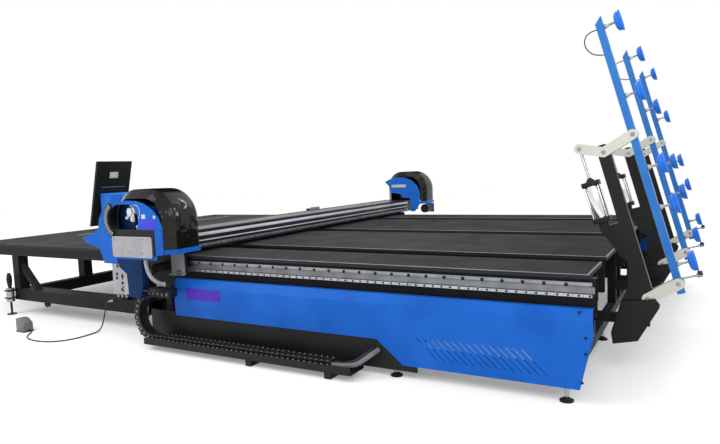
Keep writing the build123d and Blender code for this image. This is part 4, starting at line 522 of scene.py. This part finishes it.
glandSleeve = aimed(turned("glandSleeve", cordSettings["sleeve"]), sleevePlace, (0, -1, 0))
finished(glandSleeve, whiteNylon, "base", "chain_plastic")
switchSleeve = aimed(turned("switchSleeve", cordSettings["sleeve"]), cordPlaces[-1], (1, 0, 0))
finished(switchSleeve, cordRubber, "base", "cord_rubber")
print("foot switch cord", round(footCordLength, 3))


# foot switch: cast shell open to the left, ribs on its roof, rubber sole
pedalSettings = {
    "low": (-6005, -455, 4), "high": (-5855, -345, 150), "roofEnd": -5937, "noseDrop": 48, "round": 9,
    "wall": 5, "ribs": (-432, -408, -384), "ribHalf": 5, "ribEnds": (-5992, -5945), "ribLevels": (147, 154),
    "sole": ((-6009, -459, 0), (-5851, -341, 12)),
}


def castPedal():
    s = pedalSettings
    low, high = at(*s["low"]), at(*s["high"])
    shell = plainBlock("pedalShell", low, high)
    toMode("EDIT")
    bpy.ops.mesh.select_all(action="SELECT")
    bpy.ops.mesh.bisect(plane_co=at(s["roofEnd"], 0, 0), plane_no=(1, 0, 0))
    selectEdges(shell, lambda a, b: min(a.x, b.x) > high.x - mm and min(a.z, b.z) > high.z - mm)
    bpy.ops.transform.translate(value=(0, 0, -s["noseDrop"] * mm))
    bevelEdges(shell, s["round"], 3, lambda a, b: True)
    deleteFaces(shell, lambda middle, normal: normal.x < -0.9)
    made = [thickened(shell, s["wall"])]
    (x0, x1), (z0, z1) = s["ribEnds"], s["ribLevels"]
    for y in s["ribs"]:
        made.append(softBlock("pedalRibs", (x0, y - s["ribHalf"], z0), (x1, y + s["ribHalf"], z1), 2))
    finished(joined("pedalShell", made), finishes["pedal_grey"], "base", "pedal_grey", "pedal_housing")
    finished(softBlock("pedalSole", *s["sole"], 3), cordRubber, "base", "cord_rubber")


castPedal()
print("foot switch cast")


# drag chain
chainSettings = {
    "front": -317.5, "back": -207.5, "pitch": 56, "height": 70, "gap": 5, "barPins": 44, "barPinRadius": 5,
    "sidePin": [(9, 44), (9, 55), (7, 56)], "lowerStart": -3940, "lowerEnd": -1920, "lowerFloor": 64,
    "upperEnd": -3700, "upperFloor": 514, "bendMiddle": 324, "bendRadius": 225, "bendLinks": 12,
    "bendTravel": 1700,
}


def chainLink(name, length):  # one link round the origin: side plates pressed in, a bar on top, pale pins whose paleness is painted highlight
    s = chainSettings
    half = Vector([size * mm / 2 for size in (length - s["gap"], s["back"] - s["front"], s["height"])])
    link = plainBlock(name, -half, half)
    toMode("EDIT")
    bpy.ops.mesh.bevel(offset=4 * mm, segments=1, affect="EDGES")
    selectFaces(link, lambda middle, normal: abs(normal.y) > 0.9)
    bpy.ops.mesh.inset(thickness=9 * mm, depth=-5 * mm, use_individual=True)
    selectFaces(link, lambda middle, normal: abs(normal.z) > 0.9)
    bpy.ops.mesh.inset(thickness=13 * mm, depth=-6 * mm, use_individual=True)
    selectFaces(link, lambda middle, normal: abs(normal.x) > 0.9)
    bpy.ops.mesh.extrude_region_shrink_fatten(TRANSFORM_OT_shrink_fatten={"value": (s["gap"] / 2 + 1) * mm})
    bpy.ops.transform.resize(value=(1, 0.72, 0.62), center_override=(0, 0, 0))
    toMode("OBJECT")
    dress(link, finishes["chain_plastic"])
    top, radius = s["height"] / 2, s["barPinRadius"]
    pins = []
    for y in (-s["barPins"], s["barPins"]):
        pin = turned("linkPins", [(radius, top - 7), (radius, top + 1), (radius - 1, top + 2)], 8)
        pin.location = (0, y * mm, 0)
        pins.append(applyPlace(pin))
    for side in (-1, 1):
        pins.append(aimed(turned("linkPins", s["sidePin"], 10), (0, 0, 0), (0, side, 0)))
    # the pins' pale colour is a painted highlight, the sparkle along the links
    dress(joined("linkPins", pins), paintedHighlightGrey)
    return joined(name, [link, pins[0]])


def straightRun(name, x0, x1, floor):
    s = chainSettings
    count = round((x1 - x0) / s["pitch"])
    step = (x1 - x0) / count
    y, z = (s["front"] + s["back"]) / 2, floor + s["height"] / 2
    return repeated(chainLink(name, step), name, [at(x0 + (k + 0.5) * step, y, z) for k in range(count)])


def bentRun(name):
    s = chainSettings
    y = (s["front"] + s["back"]) / 2
    places = []
    for k in range(s["bendLinks"]):
        angle = math.pi / 2 + (k + 0.5) * math.pi / s["bendLinks"]
        place = at(s["lowerStart"] + s["bendRadius"] * math.cos(angle), y,
                   s["bendMiddle"] + s["bendRadius"] * math.sin(angle))
        places.append(Matrix.Translation(place) @ Matrix.Rotation(math.pi / 2 - angle, 4, "Y"))
    return repeated(chainLink(name, math.pi * s["bendRadius"] / s["bendLinks"]), name, places)


def layChain(s):
    lower = straightRun("chainLower", s["lowerStart"], s["lowerEnd"], s["lowerFloor"])
    finished(lower, None, "base", "chain_plastic", "x_chain_lower")
    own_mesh(lower)
    upper = straightRun("chainUpper", s["lowerStart"], s["upperEnd"], s["upperFloor"])
    finished(upper, None, None, "chain_plastic", "x_chain_upper")
    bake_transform(upper)
    finished(bentRun("chainBend"), None, "chain_bend", "chain_plastic", "x_chain_bend")


layChain(chainSettings)
print("drag chain linked")


# corrugated hoses
hoseSettings = {
    "radius": 20, "root": 17, "pitch": 9, "diameter": 0.038,
    "bridge": ((-3920, -370, 915), (-3920, -370, 760), (-3890, -262, 626), (-3760, -262, 626)),
    "conduits": (
        ((-1920, -239.7, 99), (-1770, -239.7, 99), (-1665, -179.7, 179), (-1635.4, -103, 205.3)),
        ((-1920, -285.3, 99), (-1724.4, -285.3, 99), (-1619.4, -225.3, 179), (-1585.5, -103, 209.1)),
    ),
}


def ribbedHose(name, points):  # one rib, repeated and bent along the route
    s = hoseSettings
    line, length = route(name + "Line", [at(*point) for point in points])
    count = round(length / (s["pitch"] * mm))
    pitch = length / count / mm
    root, crest = s["root"], s["radius"]
    rib = turned(name, [(root, 0), (root, pitch * 0.2), (crest, pitch * 0.35), (crest, pitch * 0.75),
                        (root, pitch * 0.9), (root, pitch)], 20)
    deleteFaces(rib, lambda middle, normal: abs(normal.z) > 0.99)
    aimed(rib, (0, 0, 0), (1, 0, 0))
    row = rib.modifiers.new("row", "ARRAY")
    row.use_relative_offset, row.use_constant_offset = False, True
    row.constant_offset_displace = (length / count, 0, 0)
    row.count, row.use_merge_vertices, row.merge_threshold = count, True, 0.0005
    follow = rib.modifiers.new("follow", "CURVE")
    follow.object, follow.deform_axis = line, "POS_X"
    pickOnly(rib)
    bpy.ops.object.modifier_apply(modifier="row")
    bpy.ops.object.modifier_apply(modifier="follow")
    path = [vertex.co.copy() for vertex in bpy.data.meshes.new_from_object(line).vertices]
    bpy.data.objects.remove(line)
    return rib, path, length


bridgeHose, hosePath, hoseLength = ribbedHose("bridgeHose", hoseSettings["bridge"])
finished(bridgeHose, finishes["hose_plastic"], "bridge", "hose_plastic", "bridge_hose")
for number, points in enumerate(hoseSettings["conduits"]):
    conduit, conduitPath, conduitLength = ribbedHose("floorConduit" + str(number + 1), points)
    finished(conduit, (cordRubber, smokeConduit)[number], "base", "cord_rubber")
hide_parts("floor_conduits")
print("hoses ribbed", round(hoseLength, 3))


# glass loader: suction cups, air loops, pivot pins, cylinders
loaderSettings = {
    "slots": (720, 2420, 4120), "lean": 15.5, "armPin": (204, 1835),
    "cupPlaces": (841, 293, -269, -577, -1015), "restPlace": -1114.4,
    "cupProfile": [(15, 102), (34, 104), (54, 109), (66, 117), (72, 126), (74, 134), (71, 138), (74, 141),
                   (79, 146), (80, 151), (80, 155), (74, 155), (66, 149), (30, 146)],
    "stemNut": [(19, 27), (20, 29), (20, 43), (19, 45), (13, 45), (13, 60), (12, 62)],
    "restTip": [(18, 140), (19, 142), (19, 168), (17, 172)],
    "loop": ((-27, 838), (-75, 846), (-128, 815), (-143, 745), (-112, 682), (-66, 650), (-27, 640)),
    "loopDiameter": 0.009,
    "pins": {"loader": ((1, 1711), (309.6, 598)), "arm_set": ((204, 1835), (512.6, 722)),
             "rod_set": ((-176, 1744),)},
    "pinReach": 40, "pinHead": [(16, 0), (16, 3), (14, 5), (10, 5), (9, 9), (8, 10)],
    "cylinderFoot": (8, 1115), "rodPin": (-176, 1744), "headEnds": ((60, 100), (350, 390)), "headHalf": 64,
    "gland": [(30, 389), (30, 400), (27, 404), (18, 404), (17, 416), (15, 418)],
    "barrel": [(61, 98), (62, 100), (62, 350), (61, 352)], "tieRod": [(6, 98), (6, 352), (5.5, 353)],
    "tiePlaces": ((-50, -50), (-50, 50), (50, -50), (50, 50)),
}
lean = math.radians(loaderSettings["lean"])
outward = Vector((math.cos(lean), 0, math.sin(lean)))
alongArm = Vector((-math.sin(lean), 0, math.cos(lean)))


def onArm(out, up, y):
    x, z = loaderSettings["armPin"]
    return at(x, y, z) + (outward * out + alongArm * up) * mm


def fillCups():  # cups with nuts on their stems, rubber sleeves on the glass rests at the foot of the arms
    s = loaderSettings
    places = [onArm(0, up, y) for y in s["slots"] for up in s["cupPlaces"]]
    setOut(turned("suctionCups", s["cupProfile"], 36), outward, places, finishes["cup_rubber"], "arm_set",
           "cup_rubber", "suction_cups")
    setOut(turned("stemNuts", s["stemNut"], 6), outward, places, zincPlate, "arm_set", "rail_steel")
    places = [onArm(0, s["restPlace"], y) for y in s["slots"]]
    setOut(turned("restTips", s["restTip"], 20), outward, places, cordRubber, "arm_set", "cord_rubber")


def hangLoops():
    s = loaderSettings
    for number, y in enumerate(s["slots"]):
        points = [onArm(out, up, y) for out, up in s["loop"]]
        loop, length = route("airLoop" + str(number + 1), points, s["loopDiameter"])
        finished(loop, cordRubber, "arm_set", "cord_rubber")


def headPins():
    s = loaderSettings
    for body, pins in s["pins"].items():
        for side, facing in ((-1, "Near"), (1, "Far")):
            head = turned("pivotHeads" + facing + body.replace("_", ""), s["pinHead"], 20)
            places = [at(x, y + side * s["pinReach"], z) for y in s["slots"] for x, z in pins]
            setOut(head, (0, side, 0), places, zincPlate, body, "rail_steel")


def capCylinders():  # heads with a gland, bright barrel, tie rods
    s = loaderSettings
    (fx, fz), (rx, rz) = s["cylinderFoot"], s["rodPin"]
    axis = Vector((rx - fx, 0, rz - fz)).normalized()
    places = [at(fx, y, fz) for y in s["slots"]]
    half = s["headHalf"]
    made = []
    for start, end in s["headEnds"]:
        made.append(roundOrigin(softBlock("cylinderHeads", (-half, -half, start), (half, half, end), 5)))
    made.append(turned("cylinderHeads", s["gland"]))
    setOut(joined("cylinderHeads", made), axis, places, satinBlack, "cylinder_set", "black_paint")
    setOut(turned("cylinderBarrels", s["barrel"], 40), axis, places, polishedTube, "cylinder_set", "silver")
    made = []
    for dx, dy in s["tiePlaces"]:
        tie = turned("tieRods", s["tieRod"], 12)
        tie.location = Vector((dx, dy, 0)) * mm
        made.append(applyPlace(tie))
    setOut(joined("tieRods", made), axis, places, finishes["chrome_rod"], "cylinder_set", "chrome_rod")


fillCups()
hangLoops()
headPins()
capCylinders()
print("loader dressed")


# rails along the table: backing strip, screw rows, trims on the boards
railSettings = {
    "left": -4270, "right": 35, "face": 25, "rear": 4815, "low": 745, "high": 793, "strip": 4, "depth": 4840,
    "rackScrews": {"radius": 9, "inset": 5, "first": -151, "step": 150, "count": 28, "level": 807},
    "railScrews": {"radius": 8, "inset": 3, "first": 6, "step": 72, "count": 59, "level": 733},
    "screwHeight": 2.5, "boards": ((0, 590), (850, 2290), (2550, 3990), (4250, 4840)),
    "boardEnds": (-4300, 0), "boardLevels": (877, 881), "trim": 15,
}


def screwRows():
    s = railSettings
    for side, face, tag in ((-1, s["face"], "Front"), (1, s["rear"], "Rear")):
        y0, y1 = sorted((face, face + side * s["strip"]))
        strip = softBlock("railBacking" + tag, (s["left"], y0, s["low"]), (s["right"], y1, s["high"]), 1, 1)
        finished(strip, milledFace, "base", "rail_steel")
        for name in ("rackScrews", "railScrews"):
            row = s[name]
            y = row["inset"] if side < 0 else s["depth"] - row["inset"]
            places = [at(row["first"] - k * row["step"], y, row["level"]) for k in range(row["count"])]
            setOut(socketScrew(name + tag, row["radius"], s["screwHeight"]), (0, side, 0), places,
                   satinBlack, "base", "black_paint")


def trimBoards():  # dull metal strip along the front and the ends of each board
    s = railSettings
    (x0, x1), (z0, z1), t = s["boardEnds"], s["boardLevels"], s["trim"]
    made = []
    for y0, y1 in s["boards"]:
        edges = ((x0, y0), (x1, y0 + t)), ((x0, y0 + t), (x0 + t, y1)), ((x1 - t, y0 + t), (x1, y1))
        for low, high in edges:
            made.append(softBlock("boardTrims", (*low, z0), (*high, z1), 0.8, 1))
    finished(joined("boardTrims", made), trimMetal, "base", "rail_steel")


screwRows()
trimBoards()
print("rail screws and board trims set")


# bridge: drawn strips along the face, scale with its screws
bridgeSettings = {
    "face": -3788, "near": 42, "far": 5148, "strips": ((1046, 1078, 12), (992, 1004, 10)),
    "scale": (936, 962, 6), "screwStart": 40, "screwStep": 90, "topStrips": ((-4206, -4180), (-3836, -3810)),
    "top": 1105, "topRise": 5,
}


def stripBridge():
    s = bridgeSettings
    face, near, far = s["face"], s["near"], s["far"]
    made = []
    for low, high, out in s["strips"]:
        made.append(softBlock("bridgeStrips", (face, near, low), (face + out, far, high), 3))
    # the strips' paleness is painted reflection
    finished(joined("bridgeStrips", made), paintedReflectionStrip, "bridge", "silver")
    low, high, out = s["scale"]
    scale = softBlock("bridgeScale", (face, near, low), (face + out, far, high), 1, 1)
    finished(scale, finishes["rail_steel"], "bridge", "rail_steel")
    count = int((far - near) / s["screwStep"])
    first, level = near + s["screwStart"], (low + high) / 2
    places = [at(face + out, first + k * s["screwStep"], level) for k in range(count)]
    setOut(socketScrew("scaleScrews", 7, 3), (1, 0, 0), places, satinBlack, "bridge", "black_paint")
    made = []
    for x0, x1 in s["topStrips"]:
        made.append(softBlock("bridgeTopRibs", (x0, near, s["top"]), (x1, far, s["top"] + s["topRise"]), 2))
    finished(joined("bridgeTopRibs", made), finishes["beam_anodised"], "bridge", "beam_anodised")


stripBridge()
print("bridge stripped")


# vacuum-formed hoods over the bridge ends
hoodSettings = {
    "nearHood": {"node": "near_hood", "low": (-4330, -390, 985), "high": (-3560, 40, 1550)},
    "farHood": {"node": "far_hood", "low": (-4181, 5158, 1080), "high": (-3460, 5588, 1590)},
    "beamSide": -3788, "beamTop": 1105, "right": 300, "left": 250, "lip": 85, "crease": 16, "rear": 105,
    "sheet": 5,
}


def formHood(name):  # a block rounded over, a sloping lip round its front, then hollowed to a sheet
    s = hoodSettings
    low, high = at(*s[name]["low"]), at(*s[name]["high"])
    crease, hair = low.y + s["lip"] * mm, 0.0005
    beamSide, beamTop = at(s["beamSide"], 0, 0).x, s["beamTop"] * mm

    def roundAt(y):  # the edges there, without the open bottom
        return lambda a, b: max(abs(a.y - y), abs(b.y - y)) < hair and max(a.z, b.z) > low.z + hair

    hood = plainBlock(name, low, high)
    for x, radius in ((high.x, s["right"]), (low.x, s["left"])):
        bevelEdges(hood, radius, 12, lambda a, b: max(abs(a.x - x), abs(b.x - x),
                                                      abs(a.z - high.z), abs(b.z - high.z)) < hair)
    bevelEdges(hood, s["lip"], 1, roundAt(low.y))
    bevelEdges(hood, s["crease"], 3, lambda a, b: max(abs(a.y - crease), abs(b.y - crease)) < hair)
    bevelEdges(hood, s["rear"], 7, roundAt(high.y))
    deleteFaces(hood, lambda middle, normal: normal.z < -0.9 or normal.y < -0.9)
    toMode("EDIT")
    for plane, across in (((beamSide, 0, 0), (1, 0, 0)), ((0, 0, beamTop), (0, 0, 1))):
        bpy.ops.mesh.select_all(action="SELECT")
        bpy.ops.mesh.bisect(plane_co=plane, plane_no=across)
    deleteFaces(hood, lambda middle, normal: middle.x < beamSide and middle.z < beamTop)
    finished(thickened(hood, s["sheet"]), finishes["black_gloss"], "bridge", "black_gloss", s[name]["node"])


formHood("nearHood")
formHood("farHood")
print("hoods formed")


# near end: window liner, regulator, bare plates, ribs, screws, chain bracket covers
nearSettings = {
    "plate": -398, "bulkhead": ((-4285, -330, 1112), (-3655, -326, 1395)),
    # black sheet where the gap behind the cap and below the window lies in shade: painted shade
    "capGapPaintedShade": ((-4345, -400, 928), (-3742, -397, 1172)),
    "whitePlates": ((-3900, -3850, 1276, 1316), (-3744, -3716, 1277, 1306)),
    "labelPlate": (-3921, -3716, 1168, 1267),
    "window": (-4173, 1268, 222, 145), "linerDepth": 120, "linerWall": 4,
    "crescent": {"middle": (-4232, 1268), "inner": 124, "outer": 197, "start": 122, "turn": 124, "count": 15},
    "capScrews": (-422, ((-4277, 1078), (-3893, 1086), (-4097, 951), (-3905, 950))),
    "manifoldScrews": (-390, ((-4321, 690), (-4240, 710), (-4244, 645), (-4254, 581), (-4316, 730),
                              (-4299, 810))),
    "bracketScrews": (-94, ((-3800, 735), (-3765, 735), (-3800, 700), (-3765, 700))),
    "fittings": (-375, ((-4335, 538), (-4275, 538), (-4215, 538))),
    "fitting": [(11, 0), (11, 10), (9, 12), (9, 26), (11, 28), (11, 36), (8, 38)],
    "regulator": ((-4098, -396, 1296), (-4000, -328, 1378)),
    "onRegulator": (  # profile, sides, place and axis of bowl, knob, gauge, elbow and foot
        ([(28, 0), (32, 4), (32, 42), (26, 54), (12, 58)], 28, (-4050, -362, 1300), (0, 0, -1)),
        ([(24, 0), (24, 14), (29, 16), (29, 30), (26, 34)], 16, (-4050, -362, 1376), (0, 0, 1)),
        ([(12, 0), (12, 6), (30, 7), (33, 10), (33, 20), (30, 22), (28, 19)], 28, (-4050, -394, 1340),
         (0, -1, 0)),
        ([(15, 0), (15, 40), (11, 42), (11, 60), (16, 62), (16, 78)], 28, (-4090, -362, 1326),
         (-0.75, 0, -0.66)),
        ([(14, 0), (17, 4), (17, 30), (12, 36)], 28, (-4000, -372, 1195), (1, 0, 0.15)),
    ),
    "tube": ((-4018, -392, 1392), (-3985, -402, 1412), (-3930, -404, 1395), (-3910, -405, 1340),
             (-3922, -404, 1292), (-3950, -394, 1274)),
    "tubeDiameter": 0.006,
    "armCovers": (((-3944, -400, 584.5), (-3698, -205.5, 598)), ((-3762, -289, 597), (-3698, -235, 653))),
}


def bareLabel(name, area, y, body, material, slot):  # thin plate with a pressed-in middle
    x0, x1, z0, z1 = area
    plate = softBlock(name, (x0, y - 2, z0), (x1, y, z1), 0.8, 1)
    selectFaces(plate, lambda middle, normal: normal.y < -0.9)
    bpy.ops.mesh.inset(thickness=4 * mm, depth=-0.6 * mm)
    finished(plate, material, body, slot)


def lineWindow():  # ring drawn back from the rim of the window
    s = nearSettings
    cx, cz, halfX, halfZ = s["window"]
    deselect()
    bpy.ops.mesh.primitive_circle_add(vertices=48, radius=halfZ * mm, rotation=(math.pi / 2, 0, 0),
                                      location=at(cx, s["plate"] + 1, cz))
    ring = applyPlace(bpy.context.object)
    ring.name = "windowLiner"
    middle = at(cx, 0, cz).x
    for side in (-1, 1):
        selectEdges(ring, lambda a, b: side * ((a.x + b.x) / 2 - middle) > 0)
        bpy.ops.transform.translate(value=(side * (halfX - halfZ) * mm / 2, 0, 0))
    selectEdges(ring, lambda a, b: True)
    bpy.ops.mesh.extrude_region_move(TRANSFORM_OT_translate={"value": (0, s["linerDepth"] * mm, 0)})
    closeEdit()
    finished(thickened(ring, s["linerWall"]), satinBlack, "bridge", "black_paint")


def ribWindow():  # crescent left of the window, with ribs and pale studs; the studs' pale colour is painted highlight on the ribs
    plate, s = nearSettings["plate"], nearSettings["crescent"]
    (cx, cz), inner, outer = s["middle"], s["inner"], s["outer"]
    first, turn = math.radians(s["start"]), math.radians(s["turn"])
    middle = at(cx, plate - 3, cz)
    place = middle + Vector((math.cos(first), 0, math.sin(first))) * (inner + outer) / 2 * mm
    ahead = Vector((-math.sin(first), 0, math.cos(first)))
    deselect()
    bpy.ops.mesh.primitive_cube_add(size=1, scale=((outer - inner) * mm, 8 * mm, 2 * mm),
                                    rotation=(0, -first, 0), location=place)
    base = applyPlace(bpy.context.object)
    selectFaces(base, lambda centre, normal: normal.dot(ahead) > 0.9)
    bpy.ops.mesh.spin(steps=20, angle=turn, center=middle, axis=(0, 1, 0))
    closeEdit()
    rib = roundOrigin(softBlock("windowRibs", (-35, -14, -6), (35, 0, 6), 2))
    stud = roundOrigin(softBlock("windowStuds", (-22, -17, -3.5), (20, -13, 3.5), 1, 1))
    reach = (inner + outer) / 2
    places = []
    for k in range(s["count"]):
        angle = math.radians(s["start"] + (k + 0.5) * s["turn"] / s["count"])
        place = at(cx + reach * math.cos(angle), plate - 5, cz + reach * math.sin(angle))
        places.append(Matrix.Translation(place) @ Matrix.Rotation(-angle, 4, "Y"))
    ribs = repeated(rib, "windowRibs", places)
    finished(joined("windowRibs", [ribs, base]), finishes["chain_plastic"], "bridge", "chain_plastic")
    # pale studs: painted highlights on the ribs
    finished(repeated(stud, "windowStuds", places), whiteNylon, "bridge", "off_white")


def mountRegulator():
    s = nearSettings
    made = [softBlock("airRegulator", *s["regulator"], 10, 3)]
    for profile, sides, place, axis in s["onRegulator"]:
        made.append(aimed(turned("airRegulator", profile, sides), at(*place), axis))
    finished(joined("airRegulator", made), whiteNylon, "bridge", "off_white")
    points = [at(*point) for point in s["tube"]]
    tube, length = route("regulatorTube", points, s["tubeDiameter"])
    finished(tube, whiteNylon, "bridge", "off_white")


def dressNearEnd():
    s = nearSettings
    finished(softBlock("windowBulkhead", *s["bulkhead"], 2), finishes["dark_blue"], "bridge", "dark_blue")
    # black sheet standing for the shade in the gap behind the cap: painted shade
    finished(softBlock("capGapPaintedShade", *s["capGapPaintedShade"], 1, 1), satinBlack, "bridge", "black_paint")
    for number, area in enumerate(s["whitePlates"]):
        bareLabel("smallPlate" + str(number + 1), area, s["plate"], "bridge", whiteNylon, "off_white")
    bareLabel("nearLabelPlate", s["labelPlate"], s["plate"], "bridge", indigoPlate, "cover_blue")
    for name, radius, height, material, slot in (("capScrews", 11, 5, zincPlate, "rail_steel"),
                                                 ("manifoldScrews", 10, 3, satinBlack, "black_paint"),
                                                 ("bracketScrews", 9, 4, satinBlack, "black_paint")):
        face, spots = s[name]
        places = [at(x, face, z) for x, z in spots]
        setOut(socketScrew(name, radius, height), (0, -1, 0), places, material, "bridge", slot)
    y, spots = s["fittings"]
    places = [at(x, y, z) for x, z in spots]
    fitting = turned("manifoldFittings", s["fitting"], 14)
    setOut(fitting, (0, 0, -1), places, zincPlate, "bridge", "rail_steel")
    covers = [softBlock("chainArmCovers", low, high, 3) for low, high in s["armCovers"]]
    finished(joined("chainArmCovers", covers), satinBlack, "bridge", "black_paint")


lineWindow()
ribWindow()
mountRegulator()
dressNearEnd()
print("near end dressed")


# covers, console and the breaking table's jacks
trimSettings = {
    "coverPlate": (-3665, -3227, 473, 583), "coverFace": -130,
    "coverScrews": ((-2, 478), (-3, 367), (-26, 168), (-40, 650)),
    "plinthReturn": (((-4200, -103, 62), (-3888, -100, 330)), ((-4200, -100, 62), (-4197, -70, 330))),
    "farStrip": (-4081, -3804, 1323, 1371), "farFace": 5150,
    "panelLean": 15, "panelFoot": (-8246, 885), "panelPlate": (2480, 2645, 1680, 1781),
    "panelLine": (2350, 2813, 1526, 1536),
    "jacks": ((-6965, 60, 1), (-4502, 60, 1), (-6965, 4780, -1), (-4502, 4780, -1)),
    "bracketLevels": ((204, 221), (297, 314)), "bracketHalf": 52, "bracketReach": 59,
    "jackSleeve": [(47, 165), (49, 168), (49, 182), (47, 185), (47, 318), (49, 321), (49, 333), (46, 336)],
    "jackHandle": [(20, 336), (20, 352), (26, 372), (32, 420), (33, 450), (29, 490), (18, 520), (8, 530)],
    "footScrew": [(14, 30), (14, 84), (21, 84), (22, 86), (22, 102), (21, 104), (14, 104), (14, 128)],
    "footPlaces": ((-142, -1452, -2762, -4072), (-60, 1570, 3270, 4900)),
}


def onPanel(name, area, out):  # block lying on the console panel's leaning face
    x, z = trimSettings["panelFoot"]
    tilt = math.radians(trimSettings["panelLean"])
    y0, y1, z0, z1 = area
    middle = (z0 + z1) / 2
    half = (z1 - z0) / 2 / math.cos(tilt)
    block = roundOrigin(softBlock(name, (-1, (y0 - y1) / 2, -half), (out, (y1 - y0) / 2, half), 0.8, 1))
    place = at(x + math.tan(tilt) * (middle - z), (y0 + y1) / 2, middle)
    block.matrix_world = Matrix.Translation(place) @ Matrix.Rotation(tilt, 4, "Y")
    return applyPlace(block)


def trimCovers():
    s = trimSettings
    bareLabel("coverLabelPlate", s["coverPlate"], s["coverFace"], "base", violetPlate, "cover_blue")
    places = [at(x, s["coverFace"] + 1, z) for x, z in s["coverScrews"]]
    setOut(socketScrew("coverScrews", 10, 5), (0, -1, 0), places, satinBlack, "base", "black_paint")
    sheets = [softBlock("plinthReturn", low, high, 0.8, 1) for low, high in s["plinthReturn"]]
    finished(joined("plinthReturn", sheets), satinBlack, "base", "black_paint")
    bareLabel("farPlateStrip", s["farStrip"], s["farFace"], "bridge", whiteNylon, "off_white")
    finished(onPanel("panelBarePlate", s["panelPlate"], 3), whiteNylon, "base", "off_white")
    finished(onPanel("panelLine", s["panelLine"], 2), zincPlate, "base", "rail_steel")


def dressJacks():
    s = trimSettings
    places = [at(x, y, 0) for x, y, inward in s["jacks"]]
    sleeves = repeated(turned("jackSleeves", s["jackSleeve"]), "jackSleeves", places)
    finished(sleeves, finishes["silver"], "base", "silver")
    handles = repeated(turned("jackHandles", s["jackHandle"], 24), "jackHandles", places)
    finished(handles, satinBlack, "base", "black_paint")
    half = s["bracketHalf"]
    brackets = []
    for x, y, inward in s["jacks"]:
        y0, y1 = sorted((y - inward * half, y + inward * s["bracketReach"]))
        for z0, z1 in s["bracketLevels"]:
            brackets.append(softBlock("jackBrackets", (x - half, y0, z0), (x + half, y1, z1), 3))
    finished(joined("jackBrackets", brackets), satinBlack, "base", "black_paint")


def dressFeet():  # bright screw and nut on each levelling foot
    s = trimSettings
    rows, columns = s["footPlaces"]
    places = [at(x, y, 0) for x in rows for y in columns]
    screws = repeated(turned("footScrews", s["footScrew"], 12), "footScrews", places)
    finished(screws, zincPlate, "base", "rail_steel")


trimCovers()
dressJacks()
dressFeet()
print("covers, console and jacks dressed")


# floor and light
stageSettings = {
    "floor": ("#f3f3f2", "#f6f6f5"), "size": 60, "sky": 0.85, "glow": 0.22, "aim": (0, -1.2, 0.9),
    "lamps": (
        (-3.5, -6.5, 6.5, 5.0, 5.0, 230), (5.5, -6.0, 4.5, 3.5, 3.5, 90), (0.5, 3.0, 7.5, 7.0, 7.0, 200),
        (4.2, -8.5, 3.4, 0.25, 3.0, 40), (1.1, -1.0, 2.9, 0.2, 1.6, 13), (2.4, -1.4, 2.3, 0.2, 1.2, 9),
    ),
}


def seenDirectly(tree):  # one where the camera, a reflection or glass looks straight at it
    seen = addNode(tree, "ShaderNodeLightPath")
    either = addNode(tree, "ShaderNodeMath", {"operation": "MAXIMUM"},
                     {0: seen.outputs["Is Camera Ray"], 1: seen.outputs["Is Glossy Ray"]})
    return addNode(tree, "ShaderNodeMath", {"operation": "MAXIMUM"},
                   {0: either.outputs[0], 1: seen.outputs["Is Transmission Ray"]}).outputs[0]


def setStage(s):
    deselect()
    bpy.ops.mesh.primitive_plane_add(size=s["size"])
    floor = bpy.context.object
    floor.name = "paleFloor"
    material, tree, shader, place = newMaterial("paleStudioFloor")
    feed(tree, shader, {
        "Base Color": tinted(tree, noise(tree, place, 2000, 2), *s["floor"]), "Roughness": 0.9,
        "Specular IOR Level": 0.1, "Emission Color": (1, 1, 1, 1),
        "Emission Strength": between(tree, seenDirectly(tree), 0.0, s["glow"]),
    })
    dress(floor, material)
    for x, y, z, wide, tall, power in s["lamps"]:
        bpy.ops.object.light_add(type="AREA", location=(x, y, z))
        lamp = bpy.context.object
        lamp.data.shape = "RECTANGLE"
        lamp.data.energy, lamp.data.size, lamp.data.size_y = power, wide, tall
        lamp.visible_camera = False
        lamp.rotation_mode = "QUATERNION"
        lamp.rotation_quaternion = (Vector(s["aim"]) - Vector((x, y, z))).to_track_quat("-Z", "Y")
    world = bpy.data.worlds.new("studio")
    bpy.context.scene.world = world
    world.use_nodes = True
    tree = world.node_tree
    strength = between(tree, seenDirectly(tree), s["sky"], 1.0)
    feed(tree, tree.nodes["Background"], {"Color": (1, 1, 1, 1), "Strength": strength})
    bpy.context.scene.view_settings.view_transform = "Standard"


setStage(stageSettings)
print("stage set")
